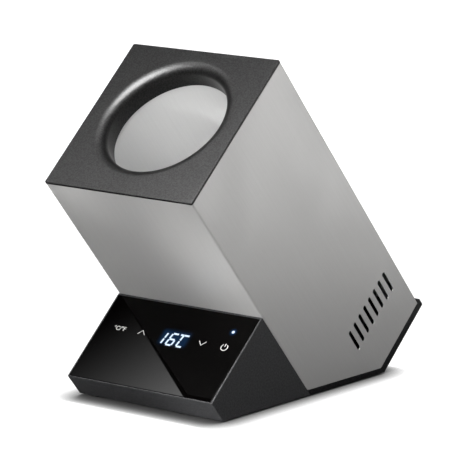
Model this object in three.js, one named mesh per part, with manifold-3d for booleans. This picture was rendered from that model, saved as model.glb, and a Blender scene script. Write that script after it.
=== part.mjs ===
// A thermoelectric cooler for one bottle: a leaning steel sleeve with a round well, a sloped touch panel in
// front, and a heat sink and fan behind a grille at its lower end. All sizes are in millimetres.
// Most pieces are drawn in the leaning frame of the sleeve: x runs across, y from the front wall to the back
// wall and z along the bottle. Its zero is the line where the control panel meets the front wall.
// The others are drawn in the floor frame, with x across, y to the back and z up from the table.
import * as THREE from 'three';
import { mergeVertices } from 'three/addons/utils/BufferGeometryUtils.js';
import Module from 'manifold-3d';

const wasm = await Module();
wasm.setup();

// Overall form
const LEAN_DEGREES = 42;
const BODY_WIDTH = 140;
const BODY_DEPTH = 142;
const FRONT_LENGTH = 133.4; // panel up to the top face
const REAR_LENGTH = 157; // panel down to the end of the steel sleeve
const PANEL_LENGTH = 82.7; // control panel, down its slope
const TOE_LENGTH = 23.5; // short wall below the panel, square to it
const FOOT_STANDOFF = 1.2; // the mouldings stay this far off the table
const SKIRT_HEIGHT = 5.7; // table up to the lower edge of the steel
const END_COVER_LENGTH = 6.8; // black cover beyond the end of the sleeve
const END_COVER_OVERHANG = 3.6; // its lip behind the back wall
const SEAT_GAP = 0.3; // between a piece and what it sits on or in
const OVERRUN = 1; // how far a cutter runs past the face it cuts

// The bottle's way in
const BORE_RADIUS = 49.2;
const COLLAR_DEPTH = 18.9;
const LIP_REACH = 8.8; // from the collar's wall out to the flat top
const LIP_DEPTH = 7;
const BORE_CENTRE_SHARE = 0.52465; // of the body's depth, from the front wall

// Sheet, moulding and hardware
const SHEET = 0.8;
const MOULDING_WALL = 2.4;
const BOARD_THICKNESS = 1.6;
const SCREW_RADIUS = 1.5;
const SCREW_HEAD_RADIUS = 2.8;
const SCREW_HEAD_HEIGHT = 2;
const SCREW_RECESS_RADIUS = 0.9;
const SCREW_RECESS_DEPTH = 1.1;
const BOSS_RADIUS = 4.2;

// Cooling stack, counted up from the end cover
const FAN_INTAKE_GAP = 12;
const FAN_SIZE = 60;
const FAN_THICKNESS = 25;
const FAN_BACK_ROOM = 9; // to the back wall's outer face
const FAN_FRONT_ROOM = 8; // to the floor of the base cover
const FAN_HOLE_SPACING = 50;
const FIN_HEIGHT = 28;
const SINK_BASE_THICKNESS = 5;
const PELTIER_SIZE = 40;
const PELTIER_THICKNESS = 3.8;
const COLD_BLOCK_HEIGHT = 14;
const WELL_FLOOR = 3;

// Round shapes are cut into this many flats
const LARGE_ROUND = 48;
const MEDIUM_ROUND = 24;
const SMALL_ROUND = 12;
const SCREW_ROUND = 8;
const HEX_ROUND = 6;
const CORNER_STEPS = 2;

const lean = THREE.MathUtils.degToRad(LEAN_DEGREES);
const leanSin = Math.sin(lean);
const leanCos = Math.cos(lean);

// Where the leaning frame's zero stands above the table, and how far it lies in front of the middle
const zeroHeight = TOE_LENGTH * leanCos + PANEL_LENGTH * leanSin;
const frontReach = FRONT_LENGTH * leanSin;
const rearReach = (REAR_LENGTH + END_COVER_LENGTH) * leanSin + (BODY_DEPTH + END_COVER_OVERHANG) * leanCos;
const zeroForward = (frontReach - rearReach) / 2;
const leaningToFloor = new THREE.Matrix4()
  .makeTranslation(0, zeroForward, zeroHeight)
  .multiply(new THREE.Matrix4().makeRotationX(lean));
const floorToLeaning = leaningToFloor.clone().invert();

// A point of the leaning frame's side view in the floor frame's side view
function toFloor(y, z) {
  const p = new THREE.Vector3(0, y, z).applyMatrix4(leaningToFloor);
  return [p.y, p.z];
}

// The leaning frame's z at depth y, on the plane that lies height above the table
function planeZ(y, height) {
  return (height - zeroHeight - y * leanSin) / leanCos;
}

// The leaning frame's y at z, on the plane that lies height above the table
function planeY(z, height) {
  return (height - zeroHeight - z * leanCos) / leanSin;
}

// Planes and centres of the cooling stack in the leaning frame. The fan stands near the end wall, or higher
// where the level floor would leave it too little room.
const boreCentreY = BODY_DEPTH * BORE_CENTRE_SHARE;
const top = FRONT_LENGTH;
const sleeveEnd = -REAR_LENGTH;
const coverEnd = sleeveEnd - END_COVER_LENGTH;
const coverInside = coverEnd + MOULDING_WALL;
const floorTop = FOOT_STANDOFF + MOULDING_WALL;
const fanBack = BODY_DEPTH - FAN_BACK_ROOM;
const fanFront = fanBack - FAN_SIZE;
const fanCentreY = (fanFront + fanBack) / 2;
const fanLow = Math.max(coverInside + FAN_INTAKE_GAP, planeZ(fanFront - FAN_FRONT_ROOM, floorTop));
const fanHigh = fanLow + FAN_THICKNESS;
const finTip = fanHigh + SEAT_GAP;
const finRoot = finTip + FIN_HEIGHT;
const sinkTop = finRoot + SINK_BASE_THICKNESS;
const peltierLow = sinkTop + SEAT_GAP;
const peltierHigh = peltierLow + PELTIER_THICKNESS;
const coldBlockLow = peltierHigh + SEAT_GAP;
const coldBlockHigh = coldBlockLow + COLD_BLOCK_HEIGHT;
const wellUnderside = coldBlockHigh + SEAT_GAP;
const wellFloorTop = wellUnderside + WELL_FLOOR;
const collarEnd = top - COLLAR_DEPTH;
const coverRearCorner = planeY(coverEnd, FOOT_STANDOFF);

// Turns a three.js geometry into a solid with shared corners and outward faces.
function solid(geometry) {
  const bare = new THREE.BufferGeometry();
  bare.setAttribute('position', geometry.getAttribute('position'));
  if (geometry.index) bare.setIndex(geometry.index);
  const merged = mergeVertices(bare);
  const source = merged.index.array;
  const corners = [];
  for (let i = 0; i < source.length; i += 3) {
    const [a, b, c] = [source[i], source[i + 1], source[i + 2]];
    if (a !== b && b !== c && c !== a) corners.push(a, b, c);
  }
  const build = (order) =>
    new wasm.Manifold(
      new wasm.Mesh({
        numProp: 3,
        vertProperties: new Float32Array(merged.getAttribute('position').array),
        triVerts: new Uint32Array(order),
      }),
    );
  const made = build(corners);
  return made.volume() > 0 ? made : build(corners.reverse());
}

function join(...pieces) {
  return pieces.reduce((sum, piece) => sum.add(piece));
}

function cut(body, ...cutters) {
  return cutters.reduce((rest, cutter) => rest.subtract(cutter), body);
}

// A named mesh of a solid or a geometry
function mesh(name, shape, material) {
  let geometry = shape;
  if (!shape.isBufferGeometry) {
    const made = shape.getMesh();
    geometry = new THREE.BufferGeometry();
    geometry.setAttribute('position', new THREE.BufferAttribute(new Float32Array(made.vertProperties), 3));
    geometry.setIndex(new THREE.BufferAttribute(new Uint32Array(made.triVerts), 1));
    geometry = geometry.toNonIndexed();
    geometry.computeVertexNormals();
  }
  const result = new THREE.Mesh(geometry, material);
  result.name = name;
  return result;
}

// A box between two corners
function block(x0, x1, y0, y1, z0, z1) {
  const geometry = new THREE.BoxGeometry(x1 - x0, y1 - y0, z1 - z0);
  return solid(geometry.translate((x0 + x1) / 2, (y0 + y1) / 2, (z0 + z1) / 2));
}

// A box centred on x and y, between two heights
function slab(x, y, width, length, z0, z1) {
  return block(x - width / 2, x + width / 2, y - length / 2, y + length / 2, z0, z1);
}

// A cylinder along z, between two heights
function rod(x, y, radius, z0, z1, sides = SMALL_ROUND) {
  const geometry = new THREE.CylinderGeometry(radius, radius, z1 - z0, sides);
  return solid(geometry.rotateX(Math.PI / 2).translate(x, y, (z0 + z1) / 2));
}

// A cutter for a round hole along z that runs past both ends
function drill(x, y, radius, z0, z1, sides = SMALL_ROUND) {
  return rod(x, y, radius, z0 - OVERRUN, z1 + OVERRUN, sides);
}

// A cylinder along y, between two depths
function pinAlongY(x, z, radius, y0, y1, sides = SMALL_ROUND) {
  const geometry = new THREE.CylinderGeometry(radius, radius, y1 - y0, sides);
  return solid(geometry.translate(x, (y0 + y1) / 2, z));
}

// A body of revolution about the z line through x and y, from [radius, z] points that close on themselves
function turned(x, y, profile, sides) {
  const points = [...profile, profile[0]].map(([r, z]) => new THREE.Vector2(r, z));
  const geometry = new THREE.LatheGeometry(points, sides);
  return solid(geometry.rotateX(Math.PI / 2).translate(x, y, 0));
}

// A side-view outline of [y, z] points, drawn out across x
function across(outline, x0, x1) {
  const shape = new THREE.Shape(outline.map(([y, z]) => new THREE.Vector2(y, z)));
  const geometry = new THREE.ExtrudeGeometry(shape, { depth: x1 - x0, bevelEnabled: false });
  const turn = new THREE.Matrix4().makeBasis(
    new THREE.Vector3(0, 1, 0),
    new THREE.Vector3(0, 0, 1),
    new THREE.Vector3(1, 0, 0),
  );
  return solid(geometry.applyMatrix4(turn).translate(x0, 0, 0));
}

// A rectangle with round corners, seen along z, between two heights
function roundedSlab(x0, x1, y0, y1, radius, z0, z1) {
  const shape = new THREE.Shape();
  shape.moveTo(x0 + radius, y0);
  shape.lineTo(x1 - radius, y0);
  shape.absarc(x1 - radius, y0 + radius, radius, -Math.PI / 2, 0);
  shape.lineTo(x1, y1 - radius);
  shape.absarc(x1 - radius, y1 - radius, radius, 0, Math.PI / 2);
  shape.lineTo(x0 + radius, y1);
  shape.absarc(x0 + radius, y1 - radius, radius, Math.PI / 2, Math.PI);
  shape.lineTo(x0, y0 + radius);
  shape.absarc(x0 + radius, y0 + radius, radius, Math.PI, Math.PI * 1.5);
  const geometry = new THREE.ExtrudeGeometry(shape, {
    depth: z1 - z0,
    bevelEnabled: false,
    curveSegments: CORNER_STEPS,
  });
  return solid(geometry.translate(0, 0, z0));
}

function ordered(a, b) {
  return [Math.min(a, b), Math.max(a, b)];
}

// Moves a solid drawn in the leaning frame into the floor frame, or the other way.
function moved(shape, matrix) {
  return shape.transform(matrix.elements);
}

// A pan-head screw with a hexagonal recess: its head's underside is at z 0, and its shank runs down to
// minus length.
function screwSolid(length) {
  const recessFloor = SCREW_HEAD_HEIGHT - SCREW_RECESS_DEPTH;
  const head = rod(0, 0, SCREW_HEAD_RADIUS, 0, SCREW_HEAD_HEIGHT, SCREW_ROUND);
  const shank = rod(0, 0, SCREW_RADIUS, -length, recessFloor / 2, SCREW_ROUND);
  const recess = rod(0, 0, SCREW_RECESS_RADIUS, recessFloor, SCREW_HEAD_HEIGHT + OVERRUN, HEX_ROUND);
  return cut(join(head, shank), recess);
}

// The hole that a screw passes through or bites in, a little wider than the shank
function screwHole(x, y, z0, z1) {
  return rod(x, y, SCREW_RADIUS + SEAT_GAP, z0, z1, SCREW_ROUND);
}

// The same screw turned over, with its head below z 0
function screwFromBelow(length) {
  return screwSolid(length).rotate([180, 0, 0]);
}

// One screw mesh for each place, numbered from 1
function repeated(name, screw, places) {
  return places.map((place, i) => {
    const copy = mesh(`${name}_${i + 1}`, screw, materials.zinc);
    copy.position.set(...place);
    return copy;
  });
}

const materials = {
  steel: new THREE.MeshStandardMaterial({ color: 0x9a9a98, roughness: 0.35, metalness: 1 }),
  blackPlastic: new THREE.MeshStandardMaterial({ color: 0x2a292b, roughness: 0.7, metalness: 0 }),
  glass: new THREE.MeshStandardMaterial({ color: 0x060606, roughness: 0.06, metalness: 0 }),
  aluminium: new THREE.MeshStandardMaterial({ color: 0xc4c5c6, roughness: 0.4, metalness: 1 }),
  rubber: new THREE.MeshStandardMaterial({ color: 0x17171a, roughness: 0.9, metalness: 0 }),
  foam: new THREE.MeshStandardMaterial({ color: 0xe9e9e4, roughness: 0.95, metalness: 0 }),
  ceramic: new THREE.MeshStandardMaterial({ color: 0xf0efe8, roughness: 0.6, metalness: 0 }),
  board: new THREE.MeshStandardMaterial({ color: 0x1c5a34, roughness: 0.5, metalness: 0 }),
  zinc: new THREE.MeshStandardMaterial({ color: 0xb9bcc0, roughness: 0.3, metalness: 1 }),
  display: new THREE.MeshStandardMaterial({ color: 0x101826, roughness: 0.2, metalness: 0 }),
  redWire: new THREE.MeshStandardMaterial({ color: 0xa81d1d, roughness: 0.5, metalness: 0 }),
  blackWire: new THREE.MeshStandardMaterial({ color: 0x161616, roughness: 0.5, metalness: 0 }),
  greyWire: new THREE.MeshStandardMaterial({ color: 0x8f9194, roughness: 0.5, metalness: 0 }),
  brass: new THREE.MeshStandardMaterial({ color: 0xb08d3c, roughness: 0.3, metalness: 1 }),
};

const halfWidth = BODY_WIDTH / 2;
const insideHalfWidth = halfWidth - SHEET;
const backInside = BODY_DEPTH - SHEET;

// Steel sleeve: brushed sheet folded into a square tube, cut level with the table at its lower front,
// with vents beside the heat sink, a wiring window behind the panel and folded screw tabs at its end
const SLEEVE_CORNER = 1.6;
const BEZEL_PLATE = 2;
const VENT_COUNT = 8;
const VENT_PITCH_SHARE = 0.0995; // of the heat sink's length
const VENT_WIDTH = 3.8;
const VENT_LENGTH = 21.8;
const VENT_SHIFT = 2.3; // behind the heat sink's middle
const WINDOW_HALF_WIDTH = 34;
const WINDOW_SILL = 10; // height above the table
const WINDOW_HEAD = 28;
const TAB_LENGTH = 12;
const TAB_REACH = 11;
const TAB_HOLE_INSET = 7.5; // from the side wall's inner face
const END_SCREW_INSET = 10; // rear pair, from the back wall's inner face
const END_SCREW_FRONT_ROOM = 10.3; // front pair, from the rear lower corner

const sleeveTop = top - BEZEL_PLATE - SEAT_GAP;
const endScrewX = insideHalfWidth - TAB_HOLE_INSET;
const endScrewY = [coverRearCorner + END_SCREW_FRONT_ROOM, backInside - END_SCREW_INSET];
const endScrewPlaces = [];
for (const side of [-1, 1]) for (const y of endScrewY) endScrewPlaces.push([side * endScrewX, y]);

// Screws that hold the control housing to the front wall
const HOUSING_SCREW_INSET = 8.5; // from the side wall's inner face
const HOUSING_SCREW_DROP = 31;
const housingScrewX = insideHalfWidth - HOUSING_SCREW_INSET;
const housingScrewPlaces = [-1, 1].map((side) => [side * housingScrewX, -HOUSING_SCREW_DROP]);

// The heat sink reaches from in front of the module to near the back wall.
const SINK_SIDE_ROOM = 20;
const SINK_BACK_ROOM = 6;
const SINK_FRONT_REACH = 24.5; // in front of the well's axis
const sinkWidth = BODY_WIDTH - 2 * SINK_SIDE_ROOM;
const sinkFront = boreCentreY - SINK_FRONT_REACH;
const sinkBack = BODY_DEPTH - SINK_BACK_ROOM;
const ventPitch = (sinkBack - sinkFront) * VENT_PITCH_SHARE;

function ventSlot(side, y) {
  const middle = (finRoot + finTip) / 2;
  const radius = VENT_WIDTH / 2;
  const straight = VENT_LENGTH / 2 - radius;
  const shape = new THREE.Shape();
  shape.moveTo(y + radius, middle - straight);
  shape.lineTo(y + radius, middle + straight);
  shape.absarc(y, middle + straight, radius, 0, Math.PI);
  shape.lineTo(y - radius, middle - straight);
  shape.absarc(y, middle - straight, radius, Math.PI, 2 * Math.PI);
  const outline = shape.getPoints(CORNER_STEPS).map((p) => [p.x, p.y]);
  const wall = [insideHalfWidth - OVERRUN, halfWidth + OVERRUN];
  return side > 0 ? across(outline, wall[0], wall[1]) : across(outline, -wall[1], -wall[0]);
}

// All that lies under the plane height above the table, as a cutter in the leaning frame
function belowPlane(height) {
  const reach = BODY_WIDTH + BODY_DEPTH + FRONT_LENGTH + REAR_LENGTH;
  return moved(block(-reach, reach, -reach, reach, -reach, height), floorToLeaning);
}

function outerSleeve() {
  const outer = roundedSlab(-halfWidth, halfWidth, 0, BODY_DEPTH, SLEEVE_CORNER, sleeveEnd, sleeveTop);
  const inner = roundedSlab(
    -insideHalfWidth,
    insideHalfWidth,
    SHEET,
    backInside,
    SLEEVE_CORNER - SHEET,
    sleeveEnd - OVERRUN,
    top + OVERRUN,
  );
  let sleeve = cut(outer, inner);
  for (const [x, y] of endScrewPlaces) {
    const side = Math.sign(x);
    const reach = ordered(side * (insideHalfWidth - TAB_REACH), side * (insideHalfWidth + SHEET / 2));
    const length = [y - TAB_LENGTH / 2, y + TAB_LENGTH / 2];
    const tab = block(...reach, ...length, sleeveEnd, sleeveEnd + SHEET);
    const hole = screwHole(x, y, sleeveEnd - OVERRUN, sleeveEnd + SHEET + OVERRUN);
    sleeve = cut(join(sleeve, tab), hole);
  }
  const vents = [];
  for (let i = 0; i < VENT_COUNT; i += 1) {
    const y = (sinkFront + sinkBack) / 2 + VENT_SHIFT + (i - (VENT_COUNT - 1) / 2) * ventPitch;
    vents.push(ventSlot(1, y), ventSlot(-1, y));
  }
  const window = block(
    -WINDOW_HALF_WIDTH,
    WINDOW_HALF_WIDTH,
    -OVERRUN,
    SHEET + OVERRUN,
    planeZ(0, WINDOW_SILL),
    planeZ(0, WINDOW_HEAD),
  );
  const screwHoles = housingScrewPlaces.map(([x, z]) =>
    pinAlongY(x, z, SCREW_RADIUS + SEAT_GAP, -OVERRUN, SHEET + OVERRUN),
  );
  return cut(sleeve, ...vents, window, belowPlane(SKIRT_HEIGHT), ...screwHoles);
}

// Top bezel: moulded frame whose round mouth rolls over into a collar that guides the bottle. A land under
// the collar presses on the seal, and four hooks snap under the flange of the well.
const BEZEL_CORNER = 1.2;
const BEZEL_SKIRT_DEPTH = 8;
const BEZEL_SKIRT_WALL = 1.8;
const LIP_STEPS = 5;
const LAND_THICKNESS = 2;
const SPIGOT_LENGTH = 4; // the collar's end that reaches down inside the well
const SPIGOT_WALL = 1.4;
const HOOK_COUNT = 4;
const HOOK_WIDTH = 12;
const HOOK_THICKNESS = 2.4;
const HOOK_CATCH = 2.4;
const HOOK_GRIP = 2.6; // how far a catch reaches in under the flange

// The bore is drawn narrower where the body is too slim for it
const GASKET_THICKNESS = 1.5;
const WELL_FLANGE_THICKNESS = 2;
const WELL_WALL = 2;
const WELL_FLANGE_WIDTH = 4;
const flangeReach = SPIGOT_WALL + SEAT_GAP + WELL_WALL + WELL_FLANGE_WIDTH;
const flangeRoom = Math.min(halfWidth, boreCentreY, BODY_DEPTH - boreCentreY) - SHEET - SEAT_GAP;
const boreRadius = Math.min(BORE_RADIUS, flangeRoom - flangeReach);
const lipEdge = boreRadius + LIP_REACH;
const land = collarEnd + SPIGOT_LENGTH;
const flangeTop = land - SEAT_GAP - GASKET_THICKNESS - SEAT_GAP;
const flangeUnderside = flangeTop - WELL_FLANGE_THICKNESS;
const flangeRadius = boreRadius + flangeReach;
const wellRadius = boreRadius + SPIGOT_WALL + SEAT_GAP;
const wellOuterRadius = wellRadius + WELL_WALL;
const hookUnderside = flangeUnderside - SEAT_GAP - HOOK_CATCH;

// The lip's round from the collar's wall up to the flat top, this far inside its surface
function lipArc(inset, steps) {
  const arc = [];
  const [reach, depth] = [LIP_REACH - inset, LIP_DEPTH - inset];
  for (let i = 0; i <= steps; i += 1) {
    const angle = (i / steps) * (Math.PI / 2);
    arc.push([lipEdge - reach * Math.cos(angle), top - LIP_DEPTH + depth * Math.sin(angle)]);
  }
  return arc;
}

// A block that fills the sleeve but for a gap along its walls
function sleeveFilling(gap, z0, z1) {
  const inset = SHEET + gap;
  return block(-halfWidth + inset, halfWidth - inset, inset, BODY_DEPTH - inset, z0, z1);
}

// A hook of the bezel, as it stands on the +x side of the well's axis
function wellHook() {
  const inner = flangeRadius + SEAT_GAP;
  const outer = inner + HOOK_THICKNESS;
  const width = [-HOOK_WIDTH / 2, HOOK_WIDTH / 2];
  const arm = block(inner, outer, ...width, hookUnderside, top - BEZEL_PLATE / 2);
  const tip = block(inner - HOOK_GRIP, outer, ...width, hookUnderside, hookUnderside + HOOK_CATCH);
  return join(arm, tip);
}

function topBezel() {
  const plate = cut(
    roundedSlab(-halfWidth, halfWidth, 0, BODY_DEPTH, BEZEL_CORNER, top - BEZEL_PLATE, top),
    drill(0, boreCentreY, lipEdge + BEZEL_PLATE / 2, top - BEZEL_PLATE, top, LARGE_ROUND),
  );
  const hidden = lipArc(BEZEL_PLATE, CORNER_STEPS).reverse();
  const landEdge = flangeRadius + SEAT_GAP + HOOK_THICKNESS / 4;
  const lip = turned(
    0,
    boreCentreY,
    [
      [boreRadius, collarEnd],
      ...lipArc(0, LIP_STEPS),
      [lipEdge + BEZEL_PLATE, top],
      [lipEdge + BEZEL_PLATE, top - BEZEL_PLATE],
      ...hidden,
      [boreRadius + BEZEL_PLATE, land + LAND_THICKNESS],
      [landEdge, land + LAND_THICKNESS],
      [landEdge, land],
      [boreRadius + SPIGOT_WALL, land],
      [boreRadius + SPIGOT_WALL, collarEnd],
    ],
    LARGE_ROUND,
  );
  const skirtTop = top - BEZEL_PLATE;
  const skirtEnd = skirtTop - BEZEL_SKIRT_DEPTH;
  const skirt = cut(
    sleeveFilling(SEAT_GAP, skirtEnd, skirtTop),
    sleeveFilling(SEAT_GAP + BEZEL_SKIRT_WALL, skirtEnd - OVERRUN, skirtTop + OVERRUN),
  );
  const hooks = [];
  for (let i = 0; i < HOOK_COUNT; i += 1) {
    const turn = ((i + 0.5) * 360) / HOOK_COUNT;
    hooks.push(wellHook().rotate([0, 0, turn]).translate([0, boreCentreY, 0]));
  }
  const outline = join(
    block(-halfWidth, halfWidth, 0, BODY_DEPTH, skirtTop, top + OVERRUN),
    sleeveFilling(SEAT_GAP, hookUnderside - OVERRUN, top),
  );
  return join(plate, lip, skirt, ...hooks).intersect(outline);
}

// Seal between the bezel's land and the flange of the well
const GASKET_INSET = 0.4;

function wellGasket() {
  const [low, high] = [flangeTop + SEAT_GAP, land - SEAT_GAP];
  const inner = wellRadius + GASKET_INSET;
  const outer = flangeRadius - GASKET_INSET;
  return cut(
    rod(0, boreCentreY, outer, low, high, LARGE_ROUND),
    drill(0, boreCentreY, inner, low, high, LARGE_ROUND),
  );
}

// Bottle well: a drawn aluminium cup with a flange, which hangs from the bezel and carries the cold block
const WELL_CORNER = 5;
const WELL_CORNER_STEPS = 3;
const BLOCK_SCREW_X = 22;
const BLOCK_SCREW_Y = 14;
const COUNTERSINK_RADIUS = 3;
const COUNTERSINK_DEPTH = 1.6;
const blockScrewPlaces = [-1, 1].map((side) => [side * BLOCK_SCREW_X, boreCentreY + side * BLOCK_SCREW_Y]);

function bottleWell() {
  const corner = [];
  for (let i = 0; i <= WELL_CORNER_STEPS; i += 1) {
    const angle = (i / WELL_CORNER_STEPS) * (Math.PI / 2);
    const spread = wellRadius - WELL_CORNER + WELL_CORNER * Math.sin(angle);
    corner.push([spread, wellFloorTop + WELL_CORNER - WELL_CORNER * Math.cos(angle)]);
  }
  const cup = turned(
    0,
    boreCentreY,
    [
      [0, wellUnderside],
      [wellOuterRadius, wellUnderside],
      [wellOuterRadius, flangeUnderside],
      [flangeRadius, flangeUnderside],
      [flangeRadius, flangeTop],
      [wellRadius, flangeTop],
      ...corner.reverse(),
      [0, wellFloorTop],
    ],
    LARGE_ROUND,
  );
  const headSeat = wellFloorTop - COUNTERSINK_DEPTH - SEAT_GAP;
  const holes = blockScrewPlaces.flatMap(([x, y]) => [
    screwHole(x, y, wellUnderside - OVERRUN, wellFloorTop),
    rod(x, y, COUNTERSINK_RADIUS + SEAT_GAP, headSeat, wellFloorTop + OVERRUN),
  ]);
  return cut(cup, ...holes);
}

// Flat-head screws through the floor of the well into the cold block
const BLOCK_SCREW_LENGTH = 9;
function blockScrew() {
  const head = rod(0, 0, COUNTERSINK_RADIUS, -COUNTERSINK_DEPTH, 0, SCREW_ROUND);
  const shank = rod(0, 0, SCREW_RADIUS, -BLOCK_SCREW_LENGTH, -COUNTERSINK_DEPTH / 2, SCREW_ROUND);
  const recess = rod(0, 0, SCREW_RECESS_RADIUS, -COUNTERSINK_DEPTH / 2, OVERRUN, HEX_ROUND);
  return join(cut(head, recess), shank);
}

// Rubber pad that the bottle stands on, with round grooves
const PAD_THICKNESS = 3;
const PAD_GROOVE_DEPTH = 1;
const PAD_GROOVE_WIDTH = 3;
const PAD_GROOVE_COUNT = 2;

function bottlePad() {
  const low = wellFloorTop + SEAT_GAP;
  const high = low + PAD_THICKNESS;
  const radius = wellRadius - WELL_CORNER - SEAT_GAP;
  const pitch = radius / (PAD_GROOVE_COUNT + 1);
  const profile = [[0, low], [radius, low], [radius, high]];
  for (let i = PAD_GROOVE_COUNT; i > 0; i -= 1) {
    const outer = i * pitch + PAD_GROOVE_WIDTH / 2;
    const inner = i * pitch - PAD_GROOVE_WIDTH / 2;
    const floor = high - PAD_GROOVE_DEPTH;
    profile.push([outer, high], [outer, floor], [inner, floor], [inner, high]);
  }
  profile.push([0, high]);
  return turned(0, boreCentreY, profile, MEDIUM_ROUND);
}

// Cold block: spreads the cold from the thermoelectric module over the floor of the well
const COLD_BLOCK_WIDTH = 70;
const COLD_BLOCK_LENGTH = 44;
const CLAMP_BOLT_X = 28;
const clampBoltPlaces = [-1, 1].map((side) => [side * CLAMP_BOLT_X, boreCentreY]);

function coldBlock() {
  const body = slab(0, boreCentreY, COLD_BLOCK_WIDTH, COLD_BLOCK_LENGTH, coldBlockLow, coldBlockHigh);
  const wellHoles = blockScrewPlaces.map(([x, y]) =>
    screwHole(x, y, wellFloorTop - BLOCK_SCREW_LENGTH - SEAT_GAP, coldBlockHigh + OVERRUN),
  );
  const boltHoles = clampBoltPlaces.map(([x, y]) =>
    screwHole(x, y, coldBlockLow - OVERRUN, coldBlockHigh - WELL_FLOOR),
  );
  return cut(body, ...wellHoles, ...boltHoles);
}

// Thermoelectric module: two ceramic plates with rows of pellets between them
const PELTIER_PLATE = 0.9;
const PELLET_ROW_COUNT = 4;
const PELLET_SIZE = 6;

function peltierModule() {
  const plates = [
    slab(0, boreCentreY, PELTIER_SIZE, PELTIER_SIZE, peltierLow, peltierLow + PELTIER_PLATE),
    slab(0, boreCentreY, PELTIER_SIZE, PELTIER_SIZE, peltierHigh - PELTIER_PLATE, peltierHigh),
  ];
  const pitch = PELTIER_SIZE / PELLET_ROW_COUNT;
  const [low, high] = [peltierLow + PELTIER_PLATE / 2, peltierHigh - PELTIER_PLATE / 2];
  const pellets = [];
  for (let i = 0; i < PELLET_ROW_COUNT; i += 1) {
    for (let j = 0; j < PELLET_ROW_COUNT; j += 1) {
      const x = (i - (PELLET_ROW_COUNT - 1) / 2) * pitch;
      const y = boreCentreY + (j - (PELLET_ROW_COUNT - 1) / 2) * pitch;
      pellets.push(slab(x, y, PELLET_SIZE, PELLET_SIZE, low, high));
    }
  }
  return join(...plates, ...pellets);
}

// Foam frame round the module, open to the front for its leads
const LEAD_RADIUS = 1.1;
const LEAD_SPREAD = 5;
const LEAD_ROOM = 1;
const leadChannelHalfWidth = LEAD_SPREAD + LEAD_RADIUS + LEAD_ROOM;

function peltierFrame() {
  const [low, high] = [peltierLow, peltierHigh];
  const outer = slab(0, boreCentreY, COLD_BLOCK_WIDTH, COLD_BLOCK_LENGTH, low, high);
  const hole = PELTIER_SIZE + 2 * SEAT_GAP;
  const opening = slab(0, boreCentreY, hole, hole, low - OVERRUN, high + OVERRUN);
  const channel = block(
    -leadChannelHalfWidth,
    leadChannelHalfWidth,
    boreCentreY - COLD_BLOCK_LENGTH,
    boreCentreY,
    low - OVERRUN,
    high + OVERRUN,
  );
  const boltHoles = clampBoltPlaces.map(([x, y]) =>
    screwHole(x, y, low - OVERRUN, high + OVERRUN),
  );
  return cut(outer, opening, channel, ...boltHoles);
}

// Heat sink: a plate with fins that lead the fan's air out to the vents on both sides
const FIN_THICKNESS = 1.4;
const FIN_PITCH_AIM = 5.5;
const WIRE_RUN_TOP = 13; // height above the table under which the fins leave room for wires
const gapsToScrew = Math.round(FAN_HOLE_SPACING / 2 / FIN_PITCH_AIM - 0.5);
const finPitch = FAN_HOLE_SPACING / (2 * gapsToScrew + 1); // the fan's screws bite midway between two fins

function heatSink() {
  const half = FIN_THICKNESS / 2;
  const finHigh = finRoot + SINK_BASE_THICKNESS / 2;
  const web = block(-half, half, sinkFront, sinkBack, finTip, finHigh);
  const pieces = [block(-sinkWidth / 2, sinkWidth / 2, sinkFront, sinkBack, finRoot, sinkTop), web];
  const first = Math.ceil((sinkFront + half - fanCentreY) / finPitch);
  const last = Math.floor((sinkBack - half - fanCentreY) / finPitch);
  for (let i = first; i <= last; i += 1) {
    const y = fanCentreY + i * finPitch;
    pieces.push(slab(0, y, sinkWidth, FIN_THICKNESS, finTip, finHigh));
  }
  const cutters = clampBoltPlaces.flatMap(([x, y]) => [
    screwHole(x, y, finRoot - OVERRUN, sinkTop + OVERRUN),
    rod(x, y, SCREW_HEAD_RADIUS + 2 * SEAT_GAP, finTip - OVERRUN, finRoot),
  ]);
  return cut(join(...pieces), ...cutters, belowPlane(WIRE_RUN_TOP));
}

// Bolts that squeeze the module between the sink and the cold block
const clampBoltSeat = finRoot - SEAT_GAP;
function clampBolt() {
  return screwFromBelow(coldBlockHigh - WELL_FLOOR - SEAT_GAP - clampBoltSeat);
}

// Foam that fills the sleeve round the well, in a left and a right half, cut away low at the front for wires
const WIRE_SPACE_HEIGHT = 30;
const WIRE_SPACE_DEPTH = 33; // behind the front wall, at the module's level
const SENSOR_RADIUS = 2.5;
const SENSOR_HEIGHT = 40; // above the underside of the well
const SENSOR_LENGTH = 14;
const sensorY = boreCentreY - wellOuterRadius - SEAT_GAP - SENSOR_RADIUS;
const foamTop = hookUnderside - SEAT_GAP;
const moduleLevel = (peltierLow + peltierHigh) / 2;
const wireSpaceTop = Math.max(
  WIRE_SPACE_HEIGHT,
  zeroHeight + WIRE_SPACE_DEPTH * leanSin + moduleLevel * leanCos,
);

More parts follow.
